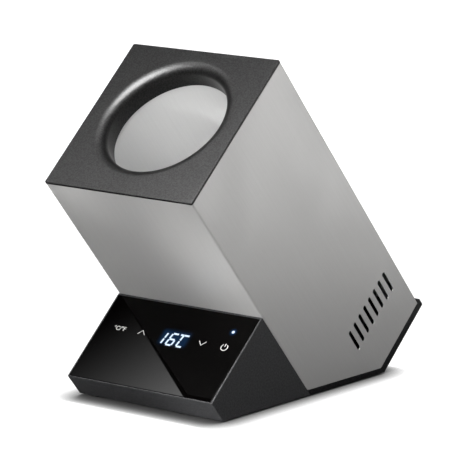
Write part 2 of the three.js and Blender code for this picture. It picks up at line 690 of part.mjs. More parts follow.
function insulationHalf(side) {
  const farSide = ordered(-side * BODY_WIDTH, (side * SEAT_GAP) / 2);
  const otherHalf = block(...farSide, -OVERRUN, BODY_DEPTH, peltierLow - OVERRUN, foamTop + OVERRUN);
  const body = cut(sleeveFilling(SEAT_GAP, peltierLow, foamTop), otherHalf);
  const wellHole = rod(
    0,
    boreCentreY,
    wellOuterRadius + SEAT_GAP,
    wellUnderside - SEAT_GAP,
    foamTop + OVERRUN,
    LARGE_ROUND,
  );
  const pocket = slab(
    0,
    boreCentreY,
    COLD_BLOCK_WIDTH + 2 * SEAT_GAP,
    COLD_BLOCK_LENGTH + 2 * SEAT_GAP,
    peltierLow - OVERRUN,
    wellUnderside,
  );
  const channelHalf = SENSOR_RADIUS + SEAT_GAP;
  const sensorChannel = block(
    -channelHalf,
    channelHalf,
    sensorY - channelHalf,
    boreCentreY,
    peltierLow - OVERRUN,
    wellUnderside + SENSOR_HEIGHT + SENSOR_LENGTH + SEAT_GAP,
  );
  const leadChannel = block(
    -leadChannelHalfWidth,
    leadChannelHalfWidth,
    0,
    boreCentreY,
    peltierLow - OVERRUN,
    peltierHigh + SEAT_GAP,
  );
  const headPockets = housingScrewPlaces.map(([x, z]) =>
    pinAlongY(x, z, SCREW_HEAD_RADIUS + SEAT_GAP, 0, SHEET + SEAT_GAP + SCREW_HEAD_HEIGHT + SEAT_GAP),
  );
  const wireSpace = belowPlane(wireSpaceTop);
  return cut(body, wellHole, pocket, sensorChannel, leadChannel, wireSpace, ...headPockets);
}

// Temperature sensor in its channel, with its tail
function temperatureSensor() {
  const low = wellUnderside + SENSOR_HEIGHT;
  const bead = rod(0, sensorY, SENSOR_RADIUS, low, low + SENSOR_LENGTH);
  return join(bead, rod(0, sensorY, LEAD_RADIUS, low - SENSOR_LENGTH, low + OVERRUN));
}

// Fan: a square frame with a bearing tube on struts, a stator, and a rotor that turns on a shaft
const FAN_CORNER = 4;
const FAN_FLANGE = 3.4;
const FAN_BORE_RADIUS = 28.6;
const FAN_ROUND = 36;
const FAN_TUBE_WALL = 1.2;
const FAN_HOLE_RADIUS = 2.1;
const MOTOR_SEAT_RADIUS = 14.5;
const MOTOR_SEAT_THICKNESS = 2;
const STRUT_COUNT = 4;
const STRUT_WIDTH = 3;
const BEARING_TUBE_RADIUS = 4;
const BEARING_TUBE_LENGTH = 14;
const BUSH_RADIUS = 2.9;
const BUSH_LENGTH = 9;
const SHAFT_RADIUS = 1.2;
const SHAFT_CLEARANCE = 0.12;
const HUB_RADIUS = 14.5;
const HUB_WALL = 1.3;
const HUB_LENGTH = 17;
const MAGNET_WALL = 1.6;
const STATOR_RADIUS = 10.4;
const STATOR_HEIGHT = 8;
const STATOR_POLE_COUNT = 4;
const BLADE_COUNT = 7;
const BLADE_TIP_GAP = 0.9;
const BLADE_THICKNESS = 1.1;
const BLADE_HEIGHT = 13;
const BLADE_SECTION_COUNT = 4;
const BLADE_ROOT_DEGREES = 48;
const BLADE_TIP_DEGREES = 34;
const ROTOR_INSET = 2; // hub face behind the frame's intake face

const fanScrewPlaces = [];
for (const sx of [-1, 1]) {
  for (const sy of [-1, 1]) {
    fanScrewPlaces.push([(sx * FAN_HOLE_SPACING) / 2, fanCentreY + (sy * FAN_HOLE_SPACING) / 2]);
  }
}
const motorSeatLow = fanHigh - MOTOR_SEAT_THICKNESS;
const hubLow = fanLow + ROTOR_INSET;
const hubHigh = hubLow + HUB_LENGTH;

// The fan's pieces are drawn about its axis at full size, and put in place at their scale.
function inFan(shape) {
  return shape.translate([0, fanCentreY, 0]);
}

function fanFrame() {
  const half = FAN_SIZE / 2;
  const sides = [-half, half, -half, half];
  const intake = roundedSlab(...sides, FAN_CORNER, fanLow, fanLow + FAN_FLANGE);
  const outlet = roundedSlab(...sides, FAN_CORNER, fanHigh - FAN_FLANGE, fanHigh);
  const tubeEnds = [fanLow + FAN_FLANGE / 2, fanHigh - FAN_FLANGE / 2];
  const tube = rod(0, 0, FAN_BORE_RADIUS + FAN_TUBE_WALL, ...tubeEnds, FAN_ROUND);
  const bore = drill(0, 0, FAN_BORE_RADIUS, fanLow, fanHigh, FAN_ROUND);
  const shell = cut(join(intake, outlet, tube), bore);
  const holes = fanScrewPlaces.map(([x, y]) => drill(x, y, FAN_HOLE_RADIUS, fanLow, fanHigh));
  const seat = rod(0, 0, MOTOR_SEAT_RADIUS, motorSeatLow, fanHigh, MEDIUM_ROUND);
  const reach = FAN_BORE_RADIUS + FAN_TUBE_WALL / 2;
  const halfStrut = STRUT_WIDTH / 2;
  const struts = [];
  for (let i = 0; i < STRUT_COUNT; i += 1) {
    const strut = block(MOTOR_SEAT_RADIUS / 2, reach, -halfStrut, halfStrut, motorSeatLow, fanHigh);
    struts.push(strut.rotate([0, 0, ((i + 0.5) * 360) / STRUT_COUNT]));
  }
  const bearingLow = motorSeatLow - BEARING_TUBE_LENGTH;
  const bearing = rod(0, 0, BEARING_TUBE_RADIUS, bearingLow, motorSeatLow + OVERRUN);
  const bearingBore = rod(0, 0, BUSH_RADIUS + SEAT_GAP, bearingLow - OVERRUN, motorSeatLow);
  return cut(inFan(cut(join(shell, seat, ...struts, bearing), bearingBore)), ...holes);
}

function fanBush() {
  const high = motorSeatLow - 2 * SEAT_GAP;
  const low = high - BUSH_LENGTH;
  const bore = drill(0, 0, SHAFT_RADIUS + SHAFT_CLEARANCE, low, high);
  return inFan(cut(rod(0, 0, BUSH_RADIUS, low, high), bore));
}

function fanStator() {
  const low = motorSeatLow - BEARING_TUBE_LENGTH + SEAT_GAP;
  const high = low + STATOR_HEIGHT;
  const core = rod(0, 0, (STATOR_RADIUS + BEARING_TUBE_RADIUS) / 2, low, high);
  const height = [low + STATOR_HEIGHT / 4, high - STATOR_HEIGHT / 4];
  const pole = block(0, STATOR_RADIUS, -STRUT_WIDTH / 2, STRUT_WIDTH / 2, ...height);
  const poles = [];
  for (let i = 0; i < STATOR_POLE_COUNT; i += 1) {
    poles.push(pole.rotate([0, 0, (i * 360) / STATOR_POLE_COUNT]));
  }
  return inFan(cut(join(core, ...poles), drill(0, 0, BEARING_TUBE_RADIUS + SEAT_GAP, low, high)));
}

// One blade, as a closed skin over sections from the hub out to the tip. Each section has six corners.
function fanBlade() {
  const steepest = THREE.MathUtils.degToRad(BLADE_ROOT_DEGREES);
  const flattest = THREE.MathUtils.degToRad(BLADE_TIP_DEGREES);
  const inner = HUB_RADIUS - HUB_WALL / 2;
  const outer = FAN_BORE_RADIUS - BLADE_TIP_GAP;
  const middle = hubLow + HUB_LENGTH / 2;
  const positions = [];
  const rings = [];
  for (let i = 0; i < BLADE_SECTION_COUNT; i += 1) {
    const share = i / (BLADE_SECTION_COUNT - 1);
    const radius = inner + (outer - inner) * share;
    const pitch = steepest + (flattest - steepest) * share;
    const halfChord = BLADE_HEIGHT / 2 / Math.sin(pitch);
    const ring = [];
    for (const [along, thick] of [[-1, -1], [0, -1], [1, -1], [1, 1], [0, 1], [-1, 1]]) {
      const camber = (1 - along * along) * BLADE_THICKNESS;
      const u = along * halfChord;
      const v = (thick * BLADE_THICKNESS) / 2 + camber;
      const around = (u * Math.cos(pitch) - v * Math.sin(pitch)) / radius;
      ring.push(positions.length / 3);
      positions.push(
        radius * Math.cos(around),
        radius * Math.sin(around),
        middle + u * Math.sin(pitch) + v * Math.cos(pitch),
      );
    }
    rings.push(ring);
  }
  const faces = [];
  for (let i = 1; i < rings.length; i += 1) {
    const [near, far] = [rings[i - 1], rings[i]];
    near.forEach((corner, j) => {
      const next = (j + 1) % near.length;
      faces.push(corner, near[next], far[next], corner, far[next], far[j]);
    });
  }
  const [root, tip] = [rings[0], rings.at(-1)];
  for (const [a, b, c] of [[0, 1, 4], [0, 4, 5], [1, 2, 3], [1, 3, 4]]) {
    faces.push(root[a], root[c], root[b], tip[a], tip[b], tip[c]);
  }
  const geometry = new THREE.BufferGeometry();
  geometry.setAttribute('position', new THREE.Float32BufferAttribute(positions, 3));
  geometry.setIndex(faces);
  return solid(geometry);
}

function fanRotor() {
  const hub = rod(0, 0, HUB_RADIUS, hubLow, hubHigh, MEDIUM_ROUND);
  const hollow = rod(0, 0, HUB_RADIUS - HUB_WALL, hubLow + HUB_WALL, hubHigh + OVERRUN, MEDIUM_ROUND);
  const blade = fanBlade();
  const blades = [];
  for (let i = 0; i < BLADE_COUNT; i += 1) blades.push(blade.rotate([0, 0, (i * 360) / BLADE_COUNT]));
  const shaftHole = rod(0, 0, SHAFT_RADIUS + SEAT_GAP, hubLow + HUB_WALL / 2, hubLow + HUB_WALL + OVERRUN);
  return inFan(cut(join(hub, ...blades), hollow, shaftHole));
}

function fanMagnet() {
  const outer = HUB_RADIUS - HUB_WALL - SEAT_GAP;
  const [low, high] = [hubLow + HUB_WALL + SEAT_GAP, hubHigh - HUB_WALL];
  const ring = rod(0, 0, outer, low, high, MEDIUM_ROUND);
  return inFan(cut(ring, drill(0, 0, outer - MAGNET_WALL, low, high, MEDIUM_ROUND)));
}

function fanShaft() {
  const low = hubLow + HUB_WALL / 2 + SEAT_GAP;
  return inFan(rod(0, 0, SHAFT_RADIUS, low, motorSeatLow - 3 * SEAT_GAP));
}

const FAN_SCREW_BITE = 10;
const fanScrewSeat = fanLow - SEAT_GAP;
const fanScrewLength = FAN_THICKNESS + FAN_SCREW_BITE;

// Base cover: one moulding that closes the sleeve under its cut edge and at its end, with the air grille
const COVER_RIM = 2.2;
const COVER_LIP_HEIGHT = 2.2; // above the sleeve's end, behind the back wall
const GRILLE_INSET = 1; // smaller in radius than half the fan
const GRILLE_PITCH = 5;
const GRILLE_SLOT = 2.8;
const GRILLE_HUB_RADIUS = 7;
const GRILLE_BACK_ROOM = 6; // to the back wall's outer face
const GRILLE_FRONT_ROOM = 3; // to the rear lower corner
const JACK_INSET_X = 24;
const JACK_INSET_Y = 16;
const JACK_BARREL_RADIUS = 5.4;
const FOOT_RADIUS = 6;
const FOOT_THICKNESS = 3;
const FOOT_INSET_X = 14;
const REAR_FOOT_INSET = 17; // from the rear lower corner
const FRONT_FOOT_INSET = 17; // from the toe

const jackX = -(halfWidth - JACK_INSET_X);
const jackY = BODY_DEPTH - JACK_INSET_Y;
const [rearCornerY] = toFloor(coverRearCorner, coverEnd);
const [toeY] = toFloor(-PANEL_LENGTH, planeZ(-PANEL_LENGTH, FOOT_STANDOFF));
const footX = halfWidth - FOOT_INSET_X;
const rearFeet = [-1, 1].map((side) => [side * footX, rearCornerY - REAR_FOOT_INSET]);
const frontFeet = [-1, 1].map((side) => [side * footX, toeY + FRONT_FOOT_INSET]);

// A round recess for each foot, drawn in the floor frame
function footRecesses(places) {
  return places.map(([x, y]) =>
    rod(x, y, FOOT_RADIUS + SEAT_GAP, FOOT_STANDOFF - OVERRUN, FOOT_THICKNESS + SEAT_GAP, MEDIUM_ROUND),
  );
}

// A pad of material over each foot recess, so that the recess has a roof
function footPads(places) {
  const padTop = FOOT_THICKNESS + SEAT_GAP + MOULDING_WALL / 2;
  return places.map(([x, y]) => rod(x, y, FOOT_RADIUS + MOULDING_WALL, FOOT_STANDOFF, padTop, MEDIUM_ROUND));
}

function baseCover() {
  const steelGap = SEAT_GAP;
  const rimTop = SKIRT_HEIGHT - steelGap * leanCos;
  const rimEnd = sleeveEnd - steelGap;
  const backEdge = BODY_DEPTH + END_COVER_OVERHANG;
  const lipFront = BODY_DEPTH + steelGap;
  const lipTop = sleeveEnd + COVER_LIP_HEIGHT;
  const lip = [];
  for (let i = 0; i <= LIP_STEPS; i += 1) {
    const angle = (i / LIP_STEPS) * (Math.PI / 2);
    const round = backEdge - lipFront;
    lip.push([lipFront + round * Math.cos(angle), lipTop - round * (1 - Math.sin(angle))]);
  }
  const outline = [
    [SEAT_GAP, planeZ(SEAT_GAP, FOOT_STANDOFF)],
    [coverRearCorner, coverEnd],
    [backEdge, coverEnd],
    ...lip,
    [lipFront, rimEnd],
    [planeY(rimEnd, rimTop), rimEnd],
    [SEAT_GAP, planeZ(SEAT_GAP, rimTop)],
  ];
  const hollow = [
    [SEAT_GAP + COVER_RIM, planeZ(SEAT_GAP + COVER_RIM, floorTop)],
    [planeY(coverInside, floorTop), coverInside],
    [BODY_DEPTH - COVER_RIM, coverInside],
    [BODY_DEPTH - COVER_RIM, rimEnd + OVERRUN],
    [BODY_DEPTH - COVER_RIM, top],
    [SEAT_GAP + COVER_RIM, top],
  ];
  const shell = cut(
    across(outline, -halfWidth, halfWidth),
    across(hollow, -halfWidth + COVER_RIM, halfWidth - COVER_RIM),
  );
  const pads = footPads(rearFeet).map((pad) => moved(pad, floorToLeaning));
  const recesses = footRecesses(rearFeet).map((recess) => moved(recess, floorToLeaning));
  const bosses = endScrewPlaces.map(([x, y]) => rod(x, y, BOSS_RADIUS, coverEnd + OVERRUN, rimEnd));
  const screwHoles = endScrewPlaces.flatMap(([x, y]) => [
    screwHole(x, y, coverEnd - OVERRUN, rimEnd + OVERRUN),
    rod(x, y, SCREW_HEAD_RADIUS + SEAT_GAP, coverEnd - OVERRUN, coverEnd + SCREW_HEAD_HEIGHT + SEAT_GAP),
  ]);
  const grilleBack = BODY_DEPTH - GRILLE_BACK_ROOM;
  const grilleRoom = grilleBack - coverRearCorner - GRILLE_FRONT_ROOM;
  const radius = Math.min(FAN_SIZE / 2 - GRILLE_INSET, grilleRoom / 2);
  const grilleY = grilleBack - radius;
  const slots = [];
  const rows = Math.floor(radius / GRILLE_PITCH);
  for (let i = -rows; i <= rows; i += 1) {
    const rise = i * GRILLE_PITCH;
    const y = grilleY + rise;
    const reach = Math.sqrt(radius ** 2 - rise ** 2);
    const hub = Math.sqrt(Math.max(GRILLE_HUB_RADIUS ** 2 - rise ** 2, 0));
    const gap = Math.max(hub, GRILLE_SLOT / 2);
    for (const side of [-1, 1]) {
      const ends = ordered(side * gap, side * reach);
      const width = [y - GRILLE_SLOT / 2, y + GRILLE_SLOT / 2];
      slots.push(block(...ends, ...width, coverEnd - OVERRUN, coverInside + OVERRUN));
    }
  }
  const jackHole = drill(jackX, jackY, JACK_BARREL_RADIUS + SEAT_GAP, coverEnd, coverInside);
  return cut(join(shell, ...pads, ...bosses), ...recesses, ...screwHoles, ...slots, jackHole);
}

const END_SCREW_LENGTH = 8;
const endScrewSeat = coverEnd + SCREW_HEAD_HEIGHT;

// Power inlet: a threaded barrel through the cover with a centre pin, held by a nut inside
const JACK_FLANGE_RADIUS = 7.2;
const JACK_FLANGE_THICKNESS = 1.4;
const JACK_BORE_RADIUS = 2.9;
const JACK_PIN_RADIUS = 1;
const JACK_BORE_DEPTH = 10;
const JACK_LENGTH = 14;
const JACK_NUT_RADIUS = 7.4;
const JACK_NUT_THICKNESS = 2.4;
const jackFace = coverEnd - SEAT_GAP;
const jackBack = jackFace + JACK_LENGTH;

function powerJack() {
  const outside = jackFace - JACK_FLANGE_THICKNESS;
  const body = join(
    rod(jackX, jackY, JACK_FLANGE_RADIUS, outside, jackFace, MEDIUM_ROUND),
    rod(jackX, jackY, JACK_BARREL_RADIUS, jackFace - OVERRUN, jackBack),
  );
  const bore = cut(
    rod(jackX, jackY, JACK_BORE_RADIUS, outside - OVERRUN, outside + JACK_BORE_DEPTH),
    rod(jackX, jackY, JACK_PIN_RADIUS, outside, outside + JACK_BORE_DEPTH + OVERRUN),
  );
  return cut(body, bore);
}

function jackNut() {
  const low = coverInside + SEAT_GAP;
  return cut(
    rod(jackX, jackY, JACK_NUT_RADIUS, low, low + JACK_NUT_THICKNESS, HEX_ROUND),
    rod(jackX, jackY, JACK_BARREL_RADIUS + SEAT_GAP, low - OVERRUN, low + JACK_NUT_THICKNESS + OVERRUN),
  );
}

// Control housing: the wedge in front, with a seat for the glass and windows for what lies behind it
const PIN_INSET = 4;
const PIN_RADIUS = 1.2;
const PIN_HEAD_RADIUS = 2.4;
const PIN_HEAD_HEIGHT = 1;
const POST_RADIUS = 3.2;
const HOUSING_BOSS_LENGTH = 12;
const GLASS_THICKNESS = 2;
const GLASS_SIDE_RIM = 1.5;
const GLASS_TOP_RIM = 1.8;
const GLASS_TOE_RIM = 1.1;
const PANEL_WALL = 2;
const ICON_LINE = 32; // down the slope, from the front wall to the row of symbols
const LED_LINE = 17.3;
const UNIT_KEY_INSET = 19.5; // from the glass's edge
const POWER_KEY_INSET = 16.1;
const DISPLAY_X = 6;
const DISPLAY_WIDTH = 30;
const DISPLAY_LENGTH = 14;
const FILM_THICKNESS = 0.5;
const FILM_LENGTH = 20;
const FILM_MARGIN = 8; // past the outer keys
const FILM_TAIL_INSET = 25.5; // from the glass's edge
const FILM_TAIL_WIDTH = 6;
const LED_RADIUS = 1.5;
const LED_HEIGHT = 5.8;
const BOARD_DROP = 6.2; // from the underside of the glass to the face of the display board
const BOTTOM_PLATE_INSET_X = 9; // screws, from the side wall's inner face
const BOTTOM_SCREW_FRONT = 34; // back from the toe
const BOTTOM_SCREW_BACK = 33; // in front of the sleeve's lower edge
const BOTTOM_BOSS_HEIGHT = 10;

const glassSeat = -GLASS_THICKNESS - SEAT_GAP;
const panelInside = glassSeat - PANEL_WALL;
const boardTop = -GLASS_THICKNESS - BOARD_DROP;
const boardUnderside = boardTop - BOARD_THICKNESS;
const housingBack = -SEAT_GAP;
const glassHalfWidth = halfWidth - GLASS_SIDE_RIM;
const unitKeyX = -(glassHalfWidth - UNIT_KEY_INSET);
const powerKeyX = glassHalfWidth - POWER_KEY_INSET;
const filmTailX = glassHalfWidth - FILM_TAIL_INSET;
const filmLow = -GLASS_THICKNESS - SEAT_GAP - FILM_THICKNESS;
const filmEdges = [unitKeyX - FILM_MARGIN, powerKeyX + FILM_MARGIN];
const BOARD_SIDE_ROOM = 11;
const BOARD_LENGTH = 38;
const boardWidth = BODY_WIDTH - 2 * BOARD_SIDE_ROOM;
const CHIP_SIZE = 12;
const CHIP_HEIGHT = 1.4;
const boardCentreY = -(ICON_LINE + LED_LINE) / 2;
const boardPinPlaces = cornerPlaces(boardWidth, BOARD_LENGTH, boardCentreY);
const bottomScrewX = halfWidth - MOULDING_WALL - BOTTOM_PLATE_INSET_X;
const [housingBackFloorY] = toFloor(0, planeZ(0, FOOT_STANDOFF));
const bottomScrewY = [toeY + BOTTOM_SCREW_FRONT, housingBackFloorY - BOTTOM_SCREW_BACK];
const bottomScrewPlaces = [];
for (const side of [-1, 1]) for (const y of bottomScrewY) bottomScrewPlaces.push([side * bottomScrewX, y]);

// A post with a pin through a circuit board and a staked head that holds the board down. The board's near
// face lies at seat, and the post comes from root on the same side.
function stakedPin(x, y, root, seat) {
  const towards = Math.sign(seat - root);
  const headNear = seat + towards * (BOARD_THICKNESS + SEAT_GAP);
  return join(
    rod(x, y, POST_RADIUS, ...ordered(root, seat - towards * SEAT_GAP), SCREW_ROUND),
    rod(x, y, PIN_RADIUS, ...ordered(root, headNear + towards * (PIN_HEAD_HEIGHT / 2)), SCREW_ROUND),
    rod(x, y, PIN_HEAD_RADIUS, ...ordered(headNear, headNear + towards * PIN_HEAD_HEIGHT), SCREW_ROUND),
  );
}

// The places of the four pins of a board, set in from its corners
function cornerPlaces(width, length, centreY) {
  const places = [];
  for (const sx of [-1, 1]) {
    for (const sy of [-1, 1]) {
      places.push([sx * (width / 2 - PIN_INSET), centreY + sy * (length / 2 - PIN_INSET)]);
    }
  }
  return places;
}

function pinHoles(places, z0, z1) {
  return places.map(([x, y]) => rod(x, y, PIN_RADIUS + SEAT_GAP, z0 - OVERRUN, z1 + OVERRUN, SCREW_ROUND));
}

function controlHousing() {
  const wedge = across(
    [
      [housingBack, 0],
      [-PANEL_LENGTH, 0],
      [-PANEL_LENGTH, planeZ(-PANEL_LENGTH, FOOT_STANDOFF)],
      [housingBack, planeZ(housingBack, FOOT_STANDOFF)],
    ],
    -halfWidth,
    halfWidth,
  );
  const toeInside = -PANEL_LENGTH + MOULDING_WALL;
  const below = FOOT_STANDOFF - OVERRUN;
  const hollow = across(
    [
      [housingBack + OVERRUN, panelInside],
      [toeInside, panelInside],
      [toeInside, planeZ(toeInside, below)],
      [housingBack + OVERRUN, planeZ(housingBack + OVERRUN, below)],
    ],
    -halfWidth + MOULDING_WALL,
    halfWidth - MOULDING_WALL,
  );
  const glassRecess = block(
    -glassHalfWidth - SEAT_GAP,
    glassHalfWidth + SEAT_GAP,
    -PANEL_LENGTH + GLASS_TOE_RIM - SEAT_GAP,
    -GLASS_TOP_RIM + SEAT_GAP,
    glassSeat,
    OVERRUN,
  );
  const [low, high] = [panelInside - OVERRUN, glassSeat + OVERRUN];
  const windows = [
    slab(DISPLAY_X, -ICON_LINE, DISPLAY_WIDTH + 2 * SEAT_GAP, DISPLAY_LENGTH + 2 * SEAT_GAP, low, high),
    rod(powerKeyX, -LED_LINE, LED_RADIUS + SEAT_GAP, low, high),
    slab(filmTailX, -ICON_LINE, FILM_TAIL_WIDTH + 2 * SEAT_GAP, FILM_THICKNESS + 2 * SEAT_GAP, low, high),
    block(
      filmEdges[0] - SEAT_GAP,
      filmEdges[1] + SEAT_GAP,
      -ICON_LINE - FILM_LENGTH / 2 - SEAT_GAP,
      -ICON_LINE + FILM_LENGTH / 2 + SEAT_GAP,
      filmLow - SEAT_GAP,
      high,
    ),
  ];
  const boardPins = boardPinPlaces.map(([x, y]) => stakedPin(x, y, panelInside + PANEL_WALL / 4, boardTop));
  const wallBosses = housingScrewPlaces.map(([x, z]) => {
    const side = Math.sign(x);
    const web = ordered(x, side * (halfWidth - MOULDING_WALL / 2));
    const depth = housingBack - HOUSING_BOSS_LENGTH;
    return join(
      pinAlongY(x, z, BOSS_RADIUS, depth, housingBack),
      block(...web, depth, housingBack, z - PANEL_WALL / 2, z + PANEL_WALL / 2),
    );
  });
  const pilotEnd = housingBack - HOUSING_BOSS_LENGTH + PANEL_WALL;
  const wallPilots = housingScrewPlaces.map(([x, z]) =>
    pinAlongY(x, z, SCREW_RADIUS + SEAT_GAP, pilotEnd, housingBack + OVERRUN),
  );
  const bossLow = floorTop + SEAT_GAP;
  const bottomBosses = bottomScrewPlaces.map(([x, y]) => {
    const side = Math.sign(x);
    const web = ordered(x, side * (halfWidth - MOULDING_WALL / 2));
    const boss = join(
      rod(x, y, BOSS_RADIUS, bossLow, bossLow + BOTTOM_BOSS_HEIGHT),
      block(...web, y - PANEL_WALL / 2, y + PANEL_WALL / 2, bossLow, bossLow + BOTTOM_BOSS_HEIGHT),
    );
    return moved(boss, floorToLeaning);
  });
  const bottomPilots = bottomScrewPlaces.map(([x, y]) =>
    moved(screwHole(x, y, floorTop, bossLow + BOTTOM_BOSS_HEIGHT - PANEL_WALL), floorToLeaning),
  );
  const frontRelief = cut(wedge, hollow, glassRecess, ...windows);
  return cut(
    join(frontRelief, ...boardPins, ...wallBosses, ...bottomBosses),
    ...wallPilots,
    ...bottomPilots,
  );
}

// Screw from inside the sleeve through its front wall
const housingScrewSeat = SHEET + SEAT_GAP;
function housingScrew() {
  return screwSolid(HOUSING_BOSS_LENGTH - PANEL_WALL).rotate([-90, 0, 0]);
}

function controlGlass() {
  return block(
    -glassHalfWidth,
    glassHalfWidth,
    -PANEL_LENGTH + GLASS_TOE_RIM,
    -GLASS_TOP_RIM,
    -GLASS_THICKNESS,
    0,
  );
}

function displayBoard() {
  const board = slab(0, boardCentreY, boardWidth, BOARD_LENGTH, boardUnderside, boardTop);
  const chip = slab(
    -2 * DISPLAY_X,
    boardCentreY,
    CHIP_SIZE,
    CHIP_SIZE,
    boardUnderside - CHIP_HEIGHT,
    boardUnderside + BOARD_THICKNESS / 2,
  );
  return cut(join(board, chip), ...pinHoles(boardPinPlaces, boardUnderside, boardTop));
}

function ledDisplay() {
  return slab(
    DISPLAY_X,
    -ICON_LINE,
    DISPLAY_WIDTH,
    DISPLAY_LENGTH,
    boardTop + SEAT_GAP,
    -GLASS_THICKNESS - SEAT_GAP,
  );
}

function statusLed() {
  return rod(powerKeyX, -LED_LINE, LED_RADIUS, boardTop + SEAT_GAP, boardTop + LED_HEIGHT);
}

// Film behind the glass that feels a finger at the keys. It has a window for the display and a tail that
// goes down to the board.
function touchFilm() {
  const high = filmLow + FILM_THICKNESS;
  const half = FILM_LENGTH / 2;
  const sheet = block(filmEdges[0], filmEdges[1], -ICON_LINE - half, -ICON_LINE + half, filmLow, high);
  const [width, length] = [DISPLAY_WIDTH + 2 * SEAT_GAP, DISPLAY_LENGTH + 2 * SEAT_GAP];
  const opening = slab(DISPLAY_X, -ICON_LINE, width, length, filmLow - OVERRUN, high + OVERRUN);
  const tail = slab(filmTailX, -ICON_LINE, FILM_TAIL_WIDTH, FILM_THICKNESS, boardTop + SEAT_GAP, high);
  return join(cut(sheet, opening), tail);
}

// Bottom plate of the control housing, drawn in the floor frame, with standoffs for the power board
const POWER_BOARD_SIDE_ROOM = 22;
const POWER_BOARD_LENGTH = 48;
const POWER_BOARD_FRONT = 30; // back from the toe
const POWER_BOARD_LIFT = 5;
const powerBoardWidth = BODY_WIDTH - 2 * POWER_BOARD_SIDE_ROOM;
const powerBoardUnderside = floorTop + POWER_BOARD_LIFT;
const powerBoardTop = powerBoardUnderside + BOARD_THICKNESS;
const powerBoardCentreY = toeY + POWER_BOARD_FRONT + POWER_BOARD_LENGTH / 2;
const powerBoardPinPlaces = cornerPlaces(powerBoardWidth, POWER_BOARD_LENGTH, powerBoardCentreY);

function housingBottom() {
  const toeInside = -PANEL_LENGTH + MOULDING_WALL + SEAT_GAP;
  const plate = across(
    [
      toFloor(toeInside, planeZ(toeInside, FOOT_STANDOFF)),
      toFloor(housingBack, planeZ(housingBack, FOOT_STANDOFF)),
      toFloor(housingBack, planeZ(housingBack, floorTop)),
      toFloor(toeInside, planeZ(toeInside, floorTop)),
    ],
    -halfWidth + MOULDING_WALL + SEAT_GAP,
    halfWidth - MOULDING_WALL - SEAT_GAP,
  );
  const pins = powerBoardPinPlaces.map(([x, y]) => stakedPin(x, y, floorTop - OVERRUN, powerBoardUnderside));
  const screwHoles = bottomScrewPlaces.flatMap(([x, y]) => [
    screwHole(x, y, FOOT_STANDOFF - OVERRUN, floorTop + OVERRUN),
    rod(x, y, SCREW_HEAD_RADIUS + SEAT_GAP, FOOT_STANDOFF - OVERRUN, FOOT_STANDOFF + BOTTOM_HEAD_RECESS),
  ]);
  return cut(join(plate, ...footPads(frontFeet), ...pins), ...footRecesses(frontFeet), ...screwHoles);
}

const BOTTOM_HEAD_RECESS = 1.4;
const BOTTOM_HEAD_HEIGHT = 1.2;
const BOTTOM_SCREW_LENGTH = 8;
const bottomScrewSeat = FOOT_STANDOFF + BOTTOM_HEAD_RECESS - SEAT_GAP / 2;
function bottomScrew() {
  const low = -BOTTOM_HEAD_HEIGHT;
  const head = rod(0, 0, SCREW_HEAD_RADIUS, low, 0, SCREW_ROUND);
  const shank = rod(0, 0, SCREW_RADIUS, low / 3, BOTTOM_SCREW_LENGTH, SCREW_ROUND);
  const recess = rod(0, 0, SCREW_RECESS_RADIUS, low - OVERRUN, low / 2, HEX_ROUND);
  return cut(join(head, shank), recess);
}

function powerBoard() {
  const height = [powerBoardUnderside, powerBoardTop];
  const board = slab(0, powerBoardCentreY, powerBoardWidth, POWER_BOARD_LENGTH, ...height);
  return cut(board, ...pinHoles(powerBoardPinPlaces, ...height));
}

// Parts that stand on the power board
const CAPACITOR_RADIUS = 6.3;
const CAPACITOR_HEIGHT = 16;
const INDUCTOR_RADIUS = 8;
const INDUCTOR_BORE = 3.4;
const INDUCTOR_HEIGHT = 7;
const SOCKET_WIDTH = 10;
const SOCKET_LENGTH = 6;
const SOCKET_HEIGHT = 7;
const SOCKET_PITCH = 15;
const SOCKET_COUNT = 4;
const SOCKET_INSET = 4;
const SOCKET_LEAD_ROOM = 8; // between the sockets and the window that the leads pass
const CAPACITOR_X_SHARE = 0.22;
const PART_ROW_SHARE = 0.16;

const partSeat = powerBoardTop + SEAT_GAP;
const [windowY] = toFloor(0, planeZ(0, (WINDOW_SILL + WINDOW_HEAD) / 2));
const boardBackY = powerBoardCentreY + POWER_BOARD_LENGTH / 2;
const socketY = Math.min(boardBackY - SOCKET_INSET, windowY - SOCKET_LEAD_ROOM) - SOCKET_LENGTH / 2;
const partRowY = powerBoardCentreY - POWER_BOARD_LENGTH * PART_ROW_SHARE;
const capacitorX = powerBoardWidth * CAPACITOR_X_SHARE;

function capacitor() {
  return rod(capacitorX, partRowY, CAPACITOR_RADIUS, partSeat, partSeat + CAPACITOR_HEIGHT, MEDIUM_ROUND);
}

function inductor() {
  const [low, high] = [partSeat, partSeat + INDUCTOR_HEIGHT];
  return turned(
    -capacitorX,
    partRowY,
    [[INDUCTOR_BORE, low], [INDUCTOR_RADIUS, low], [INDUCTOR_RADIUS, high], [INDUCTOR_BORE, high]],
    MEDIUM_ROUND,
  );
}

function socketX(i) {
  return (i - (SOCKET_COUNT - 1) / 2) * SOCKET_PITCH;
}

// Four sockets on one strip
function wireSockets() {
  const stripLength = (SOCKET_COUNT - 1) * SOCKET_PITCH;
  const strip = slab(0, socketY, stripLength, SOCKET_LENGTH, partSeat, partSeat + BOARD_THICKNESS);
  const sockets = [strip];
  for (let i = 0; i < SOCKET_COUNT; i += 1) {
    sockets.push(slab(socketX(i), socketY, SOCKET_WIDTH, SOCKET_LENGTH, partSeat, partSeat + SOCKET_HEIGHT));
  }
  return join(...sockets);
}

